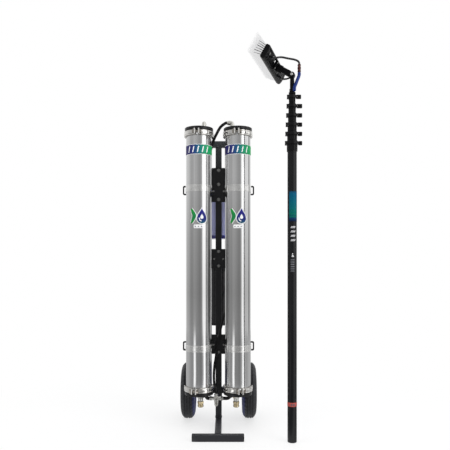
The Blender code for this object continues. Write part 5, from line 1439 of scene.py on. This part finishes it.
piece("feed_hose_pole", hose([(0.2980, -0.2380, 1.3532), (0.2976, -0.2383, 1.3450), (0.2950, -0.2405, 1.3360), (0.2900, -0.2455, 1.3240), (0.2840, -0.2505, 1.3080),
                              (0.2792, -0.2533, 1.2960), (0.2783, -0.2538, SEAT + 0.0088)], 0.0060, 24, 10), BLUE_HOSE, "section_7", "pole_hose")

# ================================================================== studio
# panels round the set as polished metal sees them: (degrees from the front, brightness)
HIGH_PANELS = [(-180, 0.95), (-120, 0.80), (-95, 0.72), (-75, 0.50), (-58, 0.48), (-42, 0.60), (-28, 0.56), (-8, 0.47), (10, 0.38), (20, 0.42),
               (29, 0.62), (37, 1.95), (58, 2.00), (67, 1.05), (78, 0.85), (88, 1.20), (98, 1.05), (108, 0.50), (122, 0.45), (136, 1.00), (180, 1.00)]
LOW_PANELS = [(-180, 0.60), (-100, 0.56), (-70, 0.38), (-50, 0.36), (-41, 1.60), (-31, 1.40), (-24, 0.30), (0, 0.30), (16, 0.24), (28, 0.34),
              (40, 0.70), (45, 1.70), (55, 1.60), (62, 0.85), (70, 0.42), (90, 0.50), (115, 0.60), (180, 0.55)]


def studio_ramp(tree, at, stops):
    """Brightness round the set; at runs 0..1 once round, 0.5 being the front. Ramps hold values up to 1, so it is doubled."""
    n = tree.nodes.new("ShaderNodeValToRGB")
    while len(n.color_ramp.elements) < len(stops):
        n.color_ramp.elements.new(0.5)
    for e, (deg, v) in zip(n.color_ramp.elements, stops):
        e.position = (deg + 180) / 360
        e.color = (v / 2, v / 2, v / 2, 1.0)
    tree.links.new(at, n.inputs[0])
    up = tree.nodes.new("ShaderNodeVectorMath")
    up.operation = "SCALE"
    up.inputs["Scale"].default_value = 2.0
    tree.links.new(n.outputs[0], up.inputs[0])
    return up.outputs[0]


floor = bmesh.new()
n = 40
grid = [[floor.verts.new((-20 + 40 * i / n, -20 + 40 * j / n, -0.0002)) for i in range(n + 1)] for j in range(n + 1)]
for p, q in zip(grid, grid[1:]):
    for i in range(n):
        floor.faces.new((p[i], p[i + 1], q[i + 1], q[i]))
me = bpy.data.meshes.new("studio_floor")
floor.to_mesh(me)
floor.free()
ground = bpy.data.objects.new("studio_floor", me)
bpy.context.scene.collection.objects.link(ground)
k = Look("studio_floor", 0.6)
pos = k.xyz()
far = k.math("SQRT", k.math("ADD", k.math("MULTIPLY", pos[0], pos[0]), k.math("MULTIPLY", pos[1], pos[1])))
fade = k.span(far, -2.2, 1.2)
k.set("Base Color", k.ramp(k.noise(3.0, 2.0), [(0.3, (0.93, 0.93, 0.93)), (0.7, (0.95, 0.95, 0.95))]))
glow = k.t.nodes.new("ShaderNodeEmission")
glow.inputs["Color"].default_value = (1.0, 1.0, 1.0, 1.0)
glow.inputs["Strength"].default_value = 1.0
# what polished metal sees where it looks down at the floor: soft panels round the set
turn_at = k.math("ARCTAN2", pos[0], k.math("MULTIPLY", k.math("ADD", pos[1], 0.085), -1.0))
at = k.math("ADD", k.math("MULTIPLY", turn_at, 0.5 / math.pi), 0.5)
low_panels = studio_ramp(k.t, at, LOW_PANELS)
high_panels = studio_ramp(k.t, at, HIGH_PANELS)
panels = k.mix(k.span(far, 2.7, 3.3), low_panels, high_panels)
dim = k.t.nodes.new("ShaderNodeEmission")
k.t.links.new(panels, dim.inputs["Color"])
seen = k.t.nodes.new("ShaderNodeMixShader")
k.put(seen.inputs[0], fade)
k.t.links.new(k.b.outputs[0], seen.inputs[1])
k.t.links.new(glow.outputs[0], seen.inputs[2])
paths = k.t.nodes.new("ShaderNodeLightPath")
last = k.t.nodes.new("ShaderNodeMixShader")
k.t.links.new(paths.outputs["Is Glossy Ray"], last.inputs[0])
k.t.links.new(seen.outputs[0], last.inputs[1])
k.t.links.new(dim.outputs[0], last.inputs[2])
k.t.links.new(last.outputs[0], k.out.inputs["Surface"])
me.materials.append(k.m)

world = bpy.data.worlds.new("studio")
bpy.context.scene.world = world
world.use_nodes = True
wt = world.node_tree
for node in list(wt.nodes):
    wt.nodes.remove(node)
w_out = wt.nodes.new("ShaderNodeOutputWorld")
w_cam = wt.nodes.new("ShaderNodeBackground")
w_cam.inputs[0].default_value = (1, 1, 1, 1)
w_cam.inputs[1].default_value = 1.0
w_all = wt.nodes.new("ShaderNodeBackground")
w_all.inputs[0].default_value = (0.82, 0.83, 0.85, 1)
w_all.inputs[1].default_value = 0.55
w_at = wt.nodes.new("ShaderNodeTexCoord")
w_xyz = wt.nodes.new("ShaderNodeSeparateXYZ")
wt.links.new(w_at.outputs["Generated"], w_xyz.inputs[0])


def w_math(op, a, b):
    node = wt.nodes.new("ShaderNodeMath")
    node.operation = op
    for socket, value in zip(node.inputs, (a, b)):
        if isinstance(value, bpy.types.NodeSocket):
            wt.links.new(value, socket)
        else:
            socket.default_value = value
    return node.outputs[0]


w_turn = w_math("ARCTAN2", w_xyz.outputs[0], w_math("MULTIPLY", w_xyz.outputs[1], -1.0))
w_round = w_math("ADD", w_math("MULTIPLY", w_turn, 0.5 / math.pi), 0.5)
w_gloss = wt.nodes.new("ShaderNodeBackground")
wt.links.new(studio_ramp(wt, w_round, HIGH_PANELS), w_gloss.inputs[0])
w_path = wt.nodes.new("ShaderNodeLightPath")
w_two = wt.nodes.new("ShaderNodeMixShader")
wt.links.new(w_path.outputs["Is Glossy Ray"], w_two.inputs[0])
wt.links.new(w_all.outputs[0], w_two.inputs[1])
wt.links.new(w_gloss.outputs[0], w_two.inputs[2])
w_mix = wt.nodes.new("ShaderNodeMixShader")
wt.links.new(w_path.outputs["Is Camera Ray"], w_mix.inputs[0])
wt.links.new(w_two.outputs[0], w_mix.inputs[1])
wt.links.new(w_cam.outputs[0], w_mix.inputs[2])
wt.links.new(w_mix.outputs[0], w_out.inputs[0])


def softbox(name, at, aim_at, wide, high, power, shade=(1, 1, 1)):
    data = bpy.data.lights.new(name, "AREA")
    data.shape = "RECTANGLE"
    data.size, data.size_y = wide, high
    data.energy = power
    data.color = shade
    o = bpy.data.objects.new(name, data)
    bpy.context.scene.collection.objects.link(o)
    o.location = at
    o.rotation_mode = "QUATERNION"
    o.rotation_quaternion = (Vector(aim_at) - Vector(at)).to_track_quat("-Z", "Y")
    o.visible_camera = False
    o.visible_glossy = False
    return o


softbox("top_panel", (0.1, -0.4, 3.2), (0.1, 0.0, 0.0), 3.4, 3.4, 60)
softbox("key_right", (1.75, -1.45, 1.55), (0.0, -0.08, 1.20), 1.10, 1.50, 22)
softbox("fill_left", (-2.4, -1.2, 1.4), (0.0, 0.0, 0.7), 1.2, 2.0, 12)
softbox("back_panel", (0.0, 2.6, 1.8), (0.0, 0.0, 0.7), 2.5, 2.0, 20)

scene = bpy.context.scene
scene.view_settings.view_transform = "Standard"
scene.view_settings.look = "None"
cam = bpy.data.cameras.new("camera")
cam.lens, cam.sensor_width = 43.6, 36.0
eye_at = bpy.data.objects.new("camera", cam)
scene.collection.objects.link(eye_at)
eye_at.location = (0.026, -2.235, 0.663)
eye_at.rotation_euler = (math.radians(90), 0, 0)
scene.camera = eye_at
cam.clip_start, cam.clip_end = 0.05, 100.0
# the lens is shifted up only from the main viewpoint
curve = cam.driver_add("shift_y")
for extra in list(curve.modifiers):
    curve.modifiers.remove(extra)
curve.driver.type = "SUM"
var = curve.driver.variables.new()
var.name = "z"
var.type = "TRANSFORMS"
var.targets[0].id = eye_at
var.targets[0].transform_type = "LOC_Z"
var.targets[0].transform_space = "WORLD_SPACE"
curve.keyframe_points.add(4)
for point, place in zip(curve.keyframe_points, ((0.0, 0.0), (0.655, 0.08), (0.671, 0.0), (2.0, 0.0))):
    point.co = place
    point.interpolation = "CONSTANT"
curve.extrapolation = "CONSTANT"
curve.update()
# the labels don't mirror in the other vessel's brushed steel
for o in scene.objects:
    if o.name.startswith("label_"):
        o.visible_glossy = False
